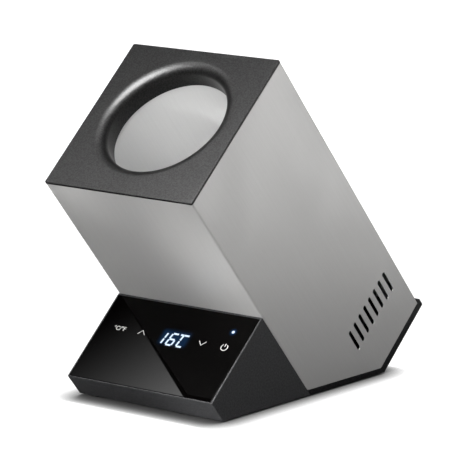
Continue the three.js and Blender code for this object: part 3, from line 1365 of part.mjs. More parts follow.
// Rubber foot, drawn in the floor frame
function foot([x, y]) {
  const narrow = FOOT_RADIUS - FOOT_STANDOFF / 2;
  return turned(
    x,
    y,
    [
      [0, 0],
      [narrow, 0],
      [FOOT_RADIUS, FOOT_STANDOFF],
      [FOOT_RADIUS, FOOT_THICKNESS],
      [0, FOOT_THICKNESS],
    ],
    MEDIUM_ROUND,
  );
}

// A round lead along a smooth route of points in the leaning frame
const LEAD_SIDE_COUNT = 8;
const LEAD_STEPS = 22;
function lead(points, radius = LEAD_RADIUS) {
  const route = new THREE.CatmullRomCurve3(
    points.map(([x, y, z]) => new THREE.Vector3(x, y, z)),
    false,
    'centripetal',
  );
  const section = new THREE.Shape();
  for (let i = 0; i < LEAD_SIDE_COUNT; i += 1) {
    const angle = (i / LEAD_SIDE_COUNT) * 2 * Math.PI;
    const [u, v] = [radius * Math.cos(angle), radius * Math.sin(angle)];
    if (i === 0) section.moveTo(u, v);
    else section.lineTo(u, v);
  }
  section.closePath();
  const options = { steps: LEAD_STEPS, extrudePath: route, bevelEnabled: false };
  return solid(new THREE.ExtrudeGeometry(section, options));
}

// A point of the floor frame in the leaning frame
function fromFloor(x, y, z) {
  const p = new THREE.Vector3(x, y, z).applyMatrix4(floorToLeaning);
  return [p.x, p.y, p.z];
}

// The leads meet the back of their sockets, pass the window in the front wall and run low to their parts.
const socketBack = socketY + SOCKET_LENGTH / 2 + SEAT_GAP;
const socketMiddle = partSeat + SOCKET_HEIGHT / 2;
const LEAD_STRAIGHT = 4;
const LOW_RUN_HEIGHT = 9.5;
const JACK_LOOP_RISE = 12;
const [sinkFrontFloorY] = toFloor(sinkFront, finTip);


function leadStart(x) {
  return [fromFloor(x, socketBack, socketMiddle), fromFloor(x, socketBack + LEAD_STRAIGHT, socketMiddle)];
}

function peltierLead(side) {
  const x = side * LEAD_SPREAD;
  const moduleEdge = boreCentreY - PELTIER_SIZE / 2 - SEAT_GAP;
  const socket = socketX(1) + (side * SOCKET_WIDTH) / 4;
  const spaceEnd = planeY(moduleLevel, wireSpaceTop - 3 * LEAD_RADIUS);
  const emerge = Math.min(spaceEnd, moduleEdge - 2 * LEAD_STRAIGHT);
  const underWell = Math.max(moduleLevel, planeZ(emerge / 2, LOW_RUN_HEIGHT));
  return lead([
    ...leadStart(socket),
    fromFloor(socket, windowY, (WINDOW_SILL + WINDOW_HEAD) / 2),
    [socket, emerge / 2, underWell],
    [x, emerge, moduleLevel],
    [x, (emerge + moduleEdge) / 2, moduleLevel],
    [x, moduleEdge, moduleLevel],
  ]);
}

function sensorLead() {
  const low = wellUnderside + SENSOR_HEIGHT - SENSOR_LENGTH - SEAT_GAP;
  const bend = Math.min(planeZ(sensorY, wireSpaceTop), low - 2 * LEAD_STRAIGHT);
  const socket = socketX(2);
  return lead([
    ...leadStart(socket),
    fromFloor(socket, windowY, WINDOW_HEAD - 2 * LEAD_RADIUS),
    [0, sensorY, bend],
    [0, sensorY, (bend + low) / 2],
    [0, sensorY, low],
  ]);
}

function fanLead() {
  const x = -FAN_SIZE / 4;
  const edge = fanFront - SEAT_GAP;
  const level = fanLow + FAN_FLANGE / 2;
  const socket = socketX(3);
  return lead([
    ...leadStart(socket),
    fromFloor(socket, windowY, (WINDOW_SILL + WINDOW_HEAD) / 2 - 2 * LEAD_RADIUS),
    fromFloor(socket, windowY + WINDOW_HEAD, LOW_RUN_HEIGHT),
    fromFloor(x, sinkFrontFloorY - 2 * LEAD_STRAIGHT, LOW_RUN_HEIGHT),
    [x, edge - LEAD_STRAIGHT, level],
    [x, edge, level],
  ]);
}

function jackLead() {
  const socket = socketX(0);
  return lead([
    ...leadStart(socket),
    fromFloor(socket, windowY, (WINDOW_SILL + WINDOW_HEAD) / 2 - 2 * LEAD_RADIUS),
    fromFloor((socket + jackX) / 2, windowY + WINDOW_HEAD, LOW_RUN_HEIGHT),
    fromFloor(jackX, sinkFrontFloorY, LOW_RUN_HEIGHT),
    [jackX, jackY - 2 * JACK_LOOP_RISE, jackBack + JACK_LOOP_RISE / 2],
    [jackX, jackY - JACK_LOOP_RISE / 2, jackBack + JACK_LOOP_RISE],
    [jackX, jackY, jackBack + LEAD_STRAIGHT],
    [jackX, jackY, jackBack + SEAT_GAP],
  ]);
}

// Flat cable from the display board down to the power board
const RIBBON_WIDTH = 12;
const RIBBON_THICKNESS = 0.9;
function ribbonCable() {
  const boardEnd = [boardCentreY, boardUnderside - SEAT_GAP];
  const [endY, endZ] = toFloor(boardEnd[0], boardEnd[1]);
  const low = powerBoardTop + SEAT_GAP;
  const half = RIBBON_THICKNESS / 2;
  const outline = [
    [endY - half, endZ - half],
    [endY + half, endZ - half],
    [endY + half, low],
    [endY - half, low],
  ];
  return across(outline, (DISPLAY_X - RIBBON_WIDTH) / 2, (DISPLAY_X + RIBBON_WIDTH) / 2);
}

const leaning = new THREE.Group();
leaning.rotation.x = lean;
leaning.position.set(0, zeroForward, zeroHeight);
const level = new THREE.Group();

leaning.add(
  mesh('outer_sleeve', outerSleeve(), materials.steel),
  mesh('top_bezel', topBezel(), materials.blackPlastic),
  mesh('well_gasket', wellGasket(), materials.rubber),
  mesh('bottle_well', bottleWell(), materials.aluminium),
  mesh('bottle_pad', bottlePad(), materials.rubber),
  mesh('insulation_left', insulationHalf(-1), materials.foam),
  mesh('insulation_right', insulationHalf(1), materials.foam),
  mesh('temperature_sensor', temperatureSensor(), materials.blackWire),
  mesh('cold_block', coldBlock(), materials.aluminium),
  mesh('peltier_module', peltierModule(), materials.ceramic),
  mesh('peltier_frame', peltierFrame(), materials.foam),
  mesh('heat_sink', heatSink(), materials.aluminium),
  mesh('fan_frame', fanFrame(), materials.blackPlastic),
  mesh('fan_bush', fanBush(), materials.brass),
  mesh('fan_stator', fanStator(), materials.brass),
  mesh('fan_rotor', fanRotor(), materials.blackPlastic),
  mesh('fan_magnet', fanMagnet(), materials.rubber),
  mesh('fan_shaft', fanShaft(), materials.zinc),
  mesh('base_cover', baseCover(), materials.blackPlastic),
  mesh('power_jack', powerJack(), materials.blackPlastic),
  mesh('jack_nut', jackNut(), materials.zinc),
  mesh('control_housing', controlHousing(), materials.blackPlastic),
  mesh('control_glass', controlGlass(), materials.glass),
  mesh('touch_film', touchFilm(), materials.greyWire),
  mesh('display_board', displayBoard(), materials.board),
  mesh('led_display', ledDisplay(), materials.display),
  mesh('status_led', statusLed(), materials.ceramic),
  mesh('peltier_lead_red', peltierLead(-1), materials.redWire),
  mesh('peltier_lead_black', peltierLead(1), materials.blackWire),
  mesh('sensor_lead', sensorLead(), materials.greyWire),
  mesh('fan_lead', fanLead(), materials.greyWire),
  mesh('jack_lead', jackLead(), materials.blackWire),
);
const atHeight = (places, z) => places.map(([x, y]) => [x, y, z]);
const housingScrewSeats = housingScrewPlaces.map(([x, z]) => [x, housingScrewSeat, z]);
leaning.add(
  ...repeated('cold_block_screw', blockScrew(), atHeight(blockScrewPlaces, wellFloorTop)),
  ...repeated('clamp_bolt', clampBolt(), atHeight(clampBoltPlaces, clampBoltSeat)),
  ...repeated('fan_screw', screwFromBelow(fanScrewLength), atHeight(fanScrewPlaces, fanScrewSeat)),
  ...repeated('end_screw', screwFromBelow(END_SCREW_LENGTH), atHeight(endScrewPlaces, endScrewSeat)),
  ...repeated('housing_screw', housingScrew(), housingScrewSeats),
);
level.add(
  mesh('housing_bottom', housingBottom(), materials.blackPlastic),
  mesh('power_board', powerBoard(), materials.board),
  mesh('capacitor', capacitor(), materials.blackWire),
  mesh('inductor', inductor(), materials.brass),
  mesh('wire_sockets', wireSockets(), materials.ceramic),
  mesh('ribbon_cable', ribbonCable(), materials.greyWire),
  mesh('foot_front_left', foot(frontFeet[0]), materials.rubber),
  mesh('foot_front_right', foot(frontFeet[1]), materials.rubber),
  mesh('foot_rear_left', foot(rearFeet[0]), materials.rubber),
  mesh('foot_rear_right', foot(rearFeet[1]), materials.rubber),
  ...repeated('bottom_screw', bottomScrew(), atHeight(bottomScrewPlaces, bottomScrewSeat)),
);

const cooler = new THREE.Group();
cooler.add(leaning, level);

export default cooler;
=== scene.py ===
import math

import bmesh
import bpy
from mathutils import Matrix, Vector


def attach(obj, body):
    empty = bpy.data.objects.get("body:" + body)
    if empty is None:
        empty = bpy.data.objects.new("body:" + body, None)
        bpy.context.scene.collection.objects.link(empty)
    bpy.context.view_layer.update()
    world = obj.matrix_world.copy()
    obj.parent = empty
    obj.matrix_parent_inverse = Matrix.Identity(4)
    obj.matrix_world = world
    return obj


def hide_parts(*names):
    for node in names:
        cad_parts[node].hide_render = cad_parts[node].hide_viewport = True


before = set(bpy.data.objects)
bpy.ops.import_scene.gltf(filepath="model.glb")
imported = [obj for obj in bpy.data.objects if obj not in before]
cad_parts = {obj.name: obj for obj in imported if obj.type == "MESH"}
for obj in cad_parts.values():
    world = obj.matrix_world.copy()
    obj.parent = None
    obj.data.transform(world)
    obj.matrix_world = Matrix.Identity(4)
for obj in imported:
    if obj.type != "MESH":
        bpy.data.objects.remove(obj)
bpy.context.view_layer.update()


# Studio
# A white floor that runs out of the picture, two soft lamps in front and two behind, and four narrow ones
# that lift the overhanging front wall and the toe. Two cards that only shiny surfaces mirror draw the light
# on the glass and on the lip of the mouth. The camera is a long lens, a little above the floor.
WHITE = (1, 1, 1, 1)
CAMERA_PLACE = (1.45548, -1.93740, 0.57573)
CAMERA_TURN = 37.02
CAMERA_DROP = 10.69
CAMERA_ROLL = 0.85
CAMERA_LENS = 242.17
CAMERA_SENSOR = 36
FLOOR_SIZE = 30
FLOOR_PAINT = (0.86, 0.86, 0.86)
FLOOR_LIT_SHARE = 0.15
FLOOR_GLOW = 1.3
CONTACT_REACH = 0.019
CONTACT_POWER = 2.9
CONTACT_SAMPLES = 16
AMBIENT = 0.21
BRIGHT_SIDE = (0.6, 0.8, 0)
HORIZON_TONES = (0.04, 0.25)
HORIZON_TURN = (-0.3, 0.5)
HORIZON_RISE = 0.45
FLOOR_MIRRORED = 1.55
FLOOR_MIRRORED_REACH = (0.35, 1.0)
CARD_PLACE = Vector((-0.849, -0.2996, 1.1358))
CARD_EDGE = Vector((0.5351, -0.8009, 0.2689))
CARD_SIDE = Vector((-0.5889, -0.5818, -0.5610))
CARD_SIZE = 0.24
CARD_LIGHT = 11
CARD_DARK_END = -0.08
CARD_BRIGHT_END = 0.06
CARD_FADE = 2.2
# A lamp's line gives its place, its aim, its width or, if it is narrow, its cone, and its watts
LAMPS = {
    "camera_side": ((1.1, -1.6, 0.7), (0, -0.05, 0.14), 0.9, 10),
    "front_wide": ((0.5, -1.8, 0.5), (0, -0.1, 0.12), 0.8, 20.5),
    "back_wide": ((-1.0, 1.6, 0.9), (0, 0, 0.12), 0.9, 24),
    "back_low": ((-0.6, 1.5, 0.25), (0, 0.1, 0.05), 0.5, 24),
}
NARROW_SIZE = 0.06
NARROW_PLACE = (-0.25, -0.9, 0.1)
NARROW_LAMPS = {
    "right_low": (NARROW_PLACE, (0.07, -0.075, 0.085), 0.16, 23),
    "right_middle": (NARROW_PLACE, (0.07, -0.115, 0.14), 0.16, 18),
    "left_high": (NARROW_PLACE, (-0.045, -0.15, 0.174), 0.09, 26),
    "toe_right": ((-0.1, -0.9, 0.03), (0.07, -0.12, 0.008), 0.16, 32),
}
LIP_CARD_PLACE = (0.03, -0.466, 0.631)
LIP_CARD_AIM = (0, -0.098, 0.222)
LIP_CARD_RADIUS = 0.24
LIP_CARD_SHINE = 35


def feed(tree, node, inputs):
    """Feeds a node's inputs, by number or name, with sockets, whole nodes or plain values."""
    for key, value in inputs.items():
        source = value.outputs[0] if isinstance(value, bpy.types.Node) else value
        if isinstance(source, bpy.types.NodeSocket):
            tree.links.new(source, node.inputs[key])
        else:
            node.inputs[key].default_value = source
    return node


def new_node(tree, kind, *values, **named):
    """A shader node of a tree, with its inputs fed in their order or by name."""
    return feed(tree, tree.nodes.new("ShaderNode" + kind), {**dict(enumerate(values)), **named})


def math_node(tree, operation, *values):
    """The output of a math node."""
    node = new_node(tree, "Math", *values)
    node.operation = operation
    return node.outputs[0]


def vector_node(tree, operation, *values, output="Vector"):
    """An output of a vector math node."""
    node = new_node(tree, "VectorMath", *values)
    node.operation = operation
    return node.outputs[output]


def spread(tree, value, low, high, to_low=0.0, to_high=1.0):
    """Maps a value smoothly from one range to another, held at the ends."""
    node = new_node(tree, "MapRange", value, low, high, to_low, to_high)
    node.interpolation_type = "SMOOTHSTEP"
    return node.outputs[0]


def tint(tree, factor, low, high):
    """A colour between two colours or colour sockets, by a factor."""
    node = new_node(tree, "Mix")
    node.data_type = "RGBA"
    low, high = ((*value, 1) if isinstance(value, tuple) else value for value in (low, high))
    return feed(tree, node, {0: factor, 6: low, 7: high}).outputs[2]


def new_object(name, data):
    """A new object in the scene, for a camera, a lamp or a curve."""
    made = bpy.data.objects.new(name, data)
    bpy.context.scene.collection.objects.link(made)
    return made


def aim_at(thing, place, aim):
    """Sets a lamp or a card at a place, with its face towards an aim."""
    thing.location = place
    thing.rotation_euler = (Vector(aim) - Vector(place)).to_track_quat("-Z", "Y").to_euler()


def bare_paint(thing, name):
    """Gives a thing in the studio a material with no nodes yet, and returns its tree."""
    material = bpy.data.materials.new(name)
    material.use_nodes = True
    material.node_tree.nodes.clear()
    thing.data.materials.append(material)
    return material.node_tree


def new_card(name, paint_name):
    """Makes the newest thing a card that is there only to be mirrored."""
    made = bpy.context.object
    made.name = name
    made.visible_camera = False
    made.visible_diffuse = False
    made.visible_shadow = False
    return made, bare_paint(made, paint_name)


def shine(tree, strength):
    """Ends a card's material with white light of some strength."""
    new_node(tree, "OutputMaterial", new_node(tree, "Emission", WHITE, strength))


camera_data = bpy.data.cameras.new("camera")
camera_data.lens = CAMERA_LENS
camera_data.sensor_width = CAMERA_SENSOR
camera = new_object("camera", camera_data)
camera.matrix_world = (
    Matrix.Translation(CAMERA_PLACE)
    @ Matrix.Rotation(math.radians(CAMERA_TURN), 4, "Z")
    @ Matrix.Rotation(math.radians(90 - CAMERA_DROP), 4, "X")
    @ Matrix.Rotation(math.radians(CAMERA_ROLL), 4, "Z")
)
bpy.context.scene.camera = camera
bpy.context.scene.view_settings.view_transform = "Standard"

for lamp_name, (lamp_place, lamp_aim, lamp_size, watts) in {**LAMPS, **NARROW_LAMPS}.items():
    lamp_data = bpy.data.lights.new(lamp_name, "AREA" if lamp_name in LAMPS else "SPOT")
    if lamp_name in LAMPS:
        lamp_data.shape = "DISK"
        lamp_data.size = lamp_size
    else:
        lamp_data.spot_size = lamp_size
        lamp_data.spot_blend = 1
        lamp_data.shadow_soft_size = NARROW_SIZE / 2
    lamp_data.energy = watts
    lamp_object = new_object(lamp_name, lamp_data)
    aim_at(lamp_object, lamp_place, lamp_aim)
    lamp_object.visible_glossy = False

# The room gives a faint even light. Seen by the camera it is white. Mirrored, it is dark overhead and a
# little brighter at the level of the floor on one side.
world = bpy.data.worlds.new("studio")
world.use_nodes = True
bpy.context.scene.world = world
sky = world.node_tree
sky.nodes.clear()
sky_path = new_node(sky, "LightPath").outputs
sky_way = new_node(sky, "TexCoord").outputs["Generated"]
sky_height = new_node(sky, "SeparateXYZ", sky_way).outputs["Z"]
sky_side = vector_node(sky, "DOT_PRODUCT", sky_way, BRIGHT_SIDE, output="Value")
sky_horizon = spread(sky, sky_side, *HORIZON_TURN, *HORIZON_TONES)
sky_tone = math_node(sky, "MULTIPLY", sky_horizon, spread(sky, sky_height, 0.0, HORIZON_RISE, 1.0, 0.0))
sky_seen = math_node(sky, "MAXIMUM", sky_path["Is Camera Ray"], sky_tone)
sky_light = new_node(sky, "Background", WHITE, AMBIENT)
sky_look = new_node(sky, "Background", sky_seen, 1.0)
sky_rays = math_node(sky, "MAXIMUM", sky_path["Is Camera Ray"], sky_path["Is Glossy Ray"])
sky_clear = math_node(sky, "MAXIMUM", sky_rays, sky_path["Is Transmission Ray"])
new_node(sky, "OutputWorld", new_node(sky, "MixShader", sky_clear, sky_light, sky_look))

# The floor glows white, and a painted contact shadow darkens its glow by ambient occlusion where the object
# stands on it. In the steel it shows dark close by and bright far off on the right.
bpy.ops.mesh.primitive_plane_add(size=FLOOR_SIZE)
floor = bpy.context.object
floor.name = "floor"
ground = bare_paint(floor, "floor_paint")
ground_path = new_node(ground, "LightPath").outputs
ground_matt = new_node(ground, "BsdfDiffuse", (*FLOOR_PAINT, 1))
# Painted contact shadow: ambient occlusion near the object darkens the floor's glow
ground_contact = new_node(ground, "AmbientOcclusion", Distance=CONTACT_REACH)
ground_contact.samples = CONTACT_SAMPLES
ground_shade = math_node(ground, "POWER", ground_contact.outputs["AO"], CONTACT_POWER)
ground_light = math_node(ground, "MULTIPLY", ground_shade, FLOOR_GLOW)
ground_glow = new_node(ground, "Emission", WHITE, ground_light)
ground_seen = new_node(ground, "MixShader", FLOOR_LIT_SHARE, ground_glow, ground_matt)
ground_place = new_node(ground, "TexCoord").outputs["Object"]
ground_away = vector_node(ground, "DOT_PRODUCT", ground_place, BRIGHT_SIDE, output="Value")
ground_tone = spread(ground, ground_away, *FLOOR_MIRRORED_REACH, 0.0, FLOOR_MIRRORED)
ground_far = new_node(ground, "Emission", WHITE, ground_tone)
ground_look = new_node(ground, "MixShader", ground_path["Is Camera Ray"], ground_matt, ground_seen)
ground_all = new_node(ground, "MixShader", ground_path["Is Glossy Ray"], ground_look, ground_far)
new_node(ground, "OutputMaterial", ground_all)

# A square card's edge draws the slanted line of light on the glass, and the card fades away from it
bpy.ops.mesh.primitive_plane_add(size=CARD_SIZE)
card, card_tree = new_card("white_card", "card_paint")
card_turn = Matrix((CARD_EDGE, CARD_SIDE, CARD_EDGE.cross(CARD_SIDE))).transposed().to_4x4()
card.matrix_world = Matrix.Translation(CARD_PLACE + CARD_SIDE * CARD_SIZE / 2) @ card_turn
card_place = new_node(card_tree, "TexCoord").outputs["Object"]
card_along = new_node(card_tree, "SeparateXYZ", card_place).outputs["X"]
card_share = spread(card_tree, card_along, CARD_DARK_END, CARD_BRIGHT_END)
card_share.node.interpolation_type = "LINEAR"
card_tone = math_node(card_tree, "POWER", card_share, CARD_FADE)
shine(card_tree, math_node(card_tree, "MULTIPLY", card_tone, CARD_LIGHT))

# A round card in front of the mouth and above it draws the soft light along the lip
bpy.ops.mesh.primitive_circle_add(radius=LIP_CARD_RADIUS, fill_type="NGON")
lip_card, lip_tree = new_card("lip_card", "lip_paint")
aim_at(lip_card, LIP_CARD_PLACE, LIP_CARD_AIM)
shine(lip_tree, LIP_CARD_SHINE)


# Outer sleeve
# One sheet of stainless steel folded round the body and welded up the back, brushed along its length.
# The sides have punched slots for the warm air, and the lower end is cut level with the table.
LEAN = math.radians(42)
ZERO_FORWARD = -0.06427173
ZERO_HEIGHT = 0.072801
HALF_WIDTH = 0.070
BODY_DEPTH = 0.142
TOP = 0.1334
SHEET = 0.0008
GAP = 0.0003
PAST = 0.002
TINY = 0.00001
SLEEVE_TOP = 0.1311
SLEEVE_END = -0.157
SLEEVE_CORNER = 0.0016
SKIRT_HEIGHT = 0.0057
SHEET_EDGE = 0.0002
VENT_COUNT = 8
VENT_PITCH = 0.008557
VENT_FIRST = 0.06535
VENT_WIDTH = 0.0038
VENT_LENGTH = 0.0218
VENT_MIDDLE = -0.1101
WINDOW_HALF = 0.034
WINDOW_LOW = 0.010
WINDOW_HIGH = 0.028
TAB_REACH = 0.011
TAB_LENGTH = 0.012
END_SCREW_X = 0.0617
END_SCREW_Y = (0.0852, 0.1312)
SCREW_HOLE = 0.0018
SEAM_WIDTH = 0.0005
SEAM_DEPTH = 0.0003
SMOOTH_ANGLE = 35
WEAR_AND_HIGHLIGHT_RADIUS = 0.0004
METAL_WEAR_AND_HIGHLIGHT = 5.0
METAL_RUBBED_AND_HIGHLIT = 1.3
FINE_LINES = 5200
WIDE_LINES = 900
WIDE_LINES_SHARE = 0.6
LINE_SHORTNESS = 0.008
LINE_RANGE = (0.5, 1.1)
PATCHES = 14
PATCH_RANGE = (0.3, 0.7)
ROUGH_CHANGE = 0.03
STREAK_CHANGE = 0.02
FINEST = 0.00001
# A metal's finish is its colour, its darker shade, its roughness, the turn and the depth of its lines and
# how metallic it is
STEEL_FINISH = ((0.605, 0.60, 0.591), (0.57, 0.565, 0.557), 0.42, LEAN, FINEST, 0.5)

leaning = Matrix.Translation((0, ZERO_FORWARD, ZERO_HEIGHT)) @ Matrix.Rotation(LEAN, 4, "X")


def level(depth, height):
    """The leaning frame's height at a depth, on the plane that lies this far above the table."""
    return (height - ZERO_HEIGHT - depth * math.sin(LEAN)) / math.cos(LEAN)


def near(a, b):
    return abs(a - b) < TINY


def span(half, middle=0):
    """The two ends of a length about its middle."""
    return (middle - half, middle + half)


def pick(piece):
    """Selects one piece alone and makes it active."""
    bpy.ops.object.select_all(action="DESELECT")
    piece.select_set(True)
    bpy.context.view_layer.objects.active = piece


def settle(piece):
    """Applies a piece's place, turn and size to its mesh."""
    pick(piece)
    bpy.ops.object.transform_apply(location=True, rotation=True, scale=True)
    return piece


def place(piece, x, y, z):
    """Moves a piece and applies the move."""
    piece.location = (x, y, z)
    return settle(piece)


def add_block(x, y, z):
    """A block between two values of x, of y and of z."""
    bpy.ops.mesh.primitive_cube_add(size=1)
    bpy.context.object.scale = [high - low for low, high in (x, y, z)]
    return place(bpy.context.object, *(sum(ends) / 2 for ends in (x, y, z)))


def add_rod(x, y, radius, z, sides=64):
    """A round bar along z."""
    bpy.ops.mesh.primitive_cylinder_add(vertices=sides, radius=radius, depth=z[1] - z[0])
    return place(bpy.context.object, x, y, sum(z) / 2)


def open_mesh(piece):
    """Opens a piece's mesh for editing, with all of it selected."""
    pick(piece)
    bpy.ops.object.mode_set(mode="EDIT")
    bpy.ops.mesh.select_all(action="SELECT")


def close_mesh():
    bpy.ops.object.mode_set(mode="OBJECT")


def close_outward():
    """Turns every face of the open mesh outward and closes it."""
    bpy.ops.mesh.select_all(action="SELECT")
    bpy.ops.mesh.normals_make_consistent(inside=False)
    close_mesh()


def take(kind, test):
    """In an open mesh, selects the vertices, edges or faces whose middle passes a test."""
    bpy.ops.mesh.select_mode(type=kind)
    bpy.ops.mesh.select_all(action="DESELECT")
    mesh = bmesh.from_edit_mesh(bpy.context.object.data)
    for part in {"VERT": mesh.verts, "EDGE": mesh.edges, "FACE": mesh.faces}[kind]:
        points = [part.co] if kind == "VERT" else [v.co for v in part.verts]
        part.select_set(bool(test(sum(points, Vector()) / len(points))))
    mesh.select_flush_mode()
    bmesh.update_edit_mesh(bpy.context.object.data)


def round_edges(piece, test, radius, steps):
    """Rounds the edges whose middle passes a test."""
    open_mesh(piece)
    take("EDGE", test)
    bpy.ops.mesh.bevel(offset=radius, segments=steps, affect="EDGES")
    close_mesh()


def modify(piece, kind, **settings):
    """Gives a piece a modifier and applies it."""
    pick(piece)
    modifier = piece.modifiers.new("work", kind)
    for setting, value in settings.items():
        setattr(modifier, setting, value)
    bpy.ops.object.modifier_apply(modifier=modifier.name)


def cut(piece, *others, operation="DIFFERENCE"):
    """Cuts other pieces out of a piece and removes them."""
    for other in others:
        modify(piece, "BOOLEAN", operation=operation, object=other, solver="EXACT")
        bpy.data.objects.remove(other)
    return piece


def weld(piece, *others):
    return cut(piece, *others, operation="UNION")


def soften(piece, radius, steps=2, degrees=40):
    """Breaks every sharp edge of a piece by a small radius."""
    sharp = {"limit_method": "ANGLE", "angle_limit": math.radians(degrees)}
    modify(piece, "BEVEL", width=radius, segments=steps, harden_normals=False, **sharp)


def paint_with(piece, material):
    piece.data.materials.clear()
    piece.data.materials.append(material)


def assemble(piece, name, material, slot, *nodes, body="cooler", turned=leaning):
    """Sets a piece in its place in the cooler, with its finish, for the nodes that it stands for."""
    if turned is not None:
        piece.matrix_world = turned
        settle(piece)
    pick(piece)
    bpy.ops.object.shade_smooth_by_angle(angle=math.radians(SMOOTH_ANGLE))
    modify(piece, "WEIGHTED_NORMAL", keep_sharp=True)
    piece.name = name
    piece.data.name = name
    paint_with(piece, material)
    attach(piece, body)
    if nodes:
        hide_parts(*nodes)


def new_group(name, vectors, numbers, outputs):
    """A shader node group with its sockets, and what comes in and the node where it goes out."""
    group = bpy.data.node_groups.new(name, "ShaderNodeTree")
    for socket in vectors:
        group.interface.new_socket(socket, in_out="INPUT", socket_type="NodeSocketVector")
    for socket, value in numbers.items():
        made = group.interface.new_socket(socket, in_out="INPUT", socket_type="NodeSocketFloat")
        made.default_value = value
    for socket in outputs:
        group.interface.new_socket(socket, in_out="OUTPUT", socket_type="NodeSocketFloat")
    return group, group.nodes.new("NodeGroupInput").outputs, group.nodes.new("NodeGroupOutput")


def noise_node(tree, vector, scale, detail, roughness=0.5):
    settings = {"Vector": vector, "Scale": scale, "Detail": detail, "Roughness": roughness}
    return new_node(tree, "TexNoise", **settings).outputs["Fac"]


def place_of(tree, turn=0.0, origin=(0, 0, 0)):
    """The place on the piece in metres, from an origin and turned about the width."""
    spot = new_node(tree, "TexCoord").outputs["Object"]
    mapping = new_node(tree, "Mapping", Vector=spot, Location=origin, Rotation=(turn, 0, 0))
    mapping.vector_type = "TEXTURE"
    return mapping.outputs[0]


def use_group(tree, group, **values):
    """Puts a node group in a material, with its own values, and returns its outputs."""
    node = new_node(tree, "Group")
    node.node_tree = group
    return feed(tree, node, values).outputs


def new_material(name, **settings):
    """A material with one Principled shader. Plain numbers and colours go on its own sockets."""
    material = bpy.data.materials.new(name)
    material.use_nodes = True
    tree = material.node_tree
    named = {setting.replace("_", " "): value for setting, value in settings.items()}
    return material, tree, feed(tree, tree.nodes["Principled BSDF"], named)


# This group finds the edges of a shape, where the finish is painted paler, partly as wear from handling and
# partly as a painted highlight
wear_and_highlight_start = {"Radius": WEAR_AND_HIGHLIGHT_RADIUS, "Gain": METAL_WEAR_AND_HIGHLIGHT}
edge_wear_and_highlight, edge_in, edge_out = new_group("edge_wear_and_highlight", [], wear_and_highlight_start, ["Mask"])
edge_round = new_node(edge_wear_and_highlight, "Bevel", Radius=edge_in["Radius"]).outputs[0]
edge_flat = new_node(edge_wear_and_highlight, "NewGeometry").outputs["Normal"]
edge_same = vector_node(edge_wear_and_highlight, "DOT_PRODUCT", edge_round, edge_flat, output="Value")
edge_turn = math_node(edge_wear_and_highlight, "SUBTRACT", 1.0, edge_same)
edge_gain = math_node(edge_wear_and_highlight, "MULTIPLY", edge_turn, edge_in["Gain"])
feed(edge_wear_and_highlight, edge_out, {"Mask": math_node(edge_wear_and_highlight, "MINIMUM", edge_gain, 1.0)})

# brushing is the fine parallel scratches of a belt, along the Z of the vector that it gets
brushing, brush_in, brush_out = new_group("brushing", ["Vector"], {}, ["Lines", "Patches"])
brush_long = new_node(brushing, "Mapping", Vector=brush_in["Vector"], Scale=(1, 1, LINE_SHORTNESS))
fine_lines = noise_node(brushing, brush_long, FINE_LINES, 3, 0.6)
wide_lines = noise_node(brushing, brush_long, WIDE_LINES, 2)
wide_part = math_node(brushing, "MULTIPLY", wide_lines, WIDE_LINES_SHARE)
brush_sum = math_node(brushing, "ADD", fine_lines, wide_part)
brush_clouds = noise_node(brushing, brush_in["Vector"], PATCHES, 2)
feed(brushing, brush_out, {"Lines": brush_sum, "Patches": brush_clouds})


def brushed_metal(name, paint, dark, roughness, turn=0.0, depth=2 * FINEST, metallic=1.0):
    """Bare metal with brushed lines, a little cloudier and brighter in places, and painted bright at its
    edges, as wear and as a painted highlight.
    """
    material, tree, shader = new_material(name, Metallic=metallic)
    brushed = use_group(tree, brushing, Vector=place_of(tree, turn))
    edges = use_group(tree, edge_wear_and_highlight, Radius=WEAR_AND_HIGHLIGHT_RADIUS, Gain=METAL_WEAR_AND_HIGHLIGHT)
    lined = tint(tree, spread(tree, brushed["Lines"], *LINE_RANGE), dark, paint)
    # Edges are painted brighter: partly wear, partly a painted highlight
    bright = tuple(min(1.0, channel * METAL_RUBBED_AND_HIGHLIT) for channel in paint)
    rough_ends = (roughness - ROUGH_CHANGE, roughness + ROUGH_CHANGE)
    rough = spread(tree, brushed["Patches"], *PATCH_RANGE, *rough_ends)
    streak = spread(tree, brushed["Lines"], *LINE_RANGE, -STREAK_CHANGE, STREAK_CHANGE)
    looks = {
        "Base Color": tint(tree, edges["Mask"], lined, bright),
        "Roughness": math_node(tree, "ADD", rough, streak),
        "Normal": new_node(tree, "Bump", Strength=0.5, Distance=depth, Height=brushed["Lines"]),
    }
    feed(tree, shader, looks)
    return material


sleeve_steel = brushed_metal("sleeve_steel", *STEEL_FINISH)

sleeve = add_block(span(HALF_WIDTH), (0, BODY_DEPTH), (SLEEVE_END, SLEEVE_TOP))
sleeve_middle = (SLEEVE_END + SLEEVE_TOP) / 2
round_edges(sleeve, lambda m: near(m.z, sleeve_middle), SLEEVE_CORNER, 8)
open_mesh(sleeve)
take("FACE", lambda m: near(m.z, SLEEVE_TOP) or near(m.z, SLEEVE_END))
bpy.ops.mesh.delete(type="FACE")
bpy.ops.mesh.select_all(action="SELECT")
bpy.ops.mesh.bisect(
    plane_co=(0, 0, level(0, SKIRT_HEIGHT)),
    plane_no=(0, math.sin(LEAN), math.cos(LEAN)),
    clear_inner=True,
)
close_mesh()
modify(sleeve, "SOLIDIFY", thickness=SHEET, offset=-1, use_even_offset=True)
vent = add_block(
    span(HALF_WIDTH + PAST), span(VENT_WIDTH / 2, VENT_FIRST), span(VENT_LENGTH / 2, VENT_MIDDLE)
)
round_edges(vent, lambda m: near(m.x, 0), VENT_WIDTH / 2 - TINY, 8)
spacing = {"use_constant_offset": True, "constant_offset_displace": (0, VENT_PITCH, 0)}
modify(vent, "ARRAY", count=VENT_COUNT, use_relative_offset=False, **spacing)
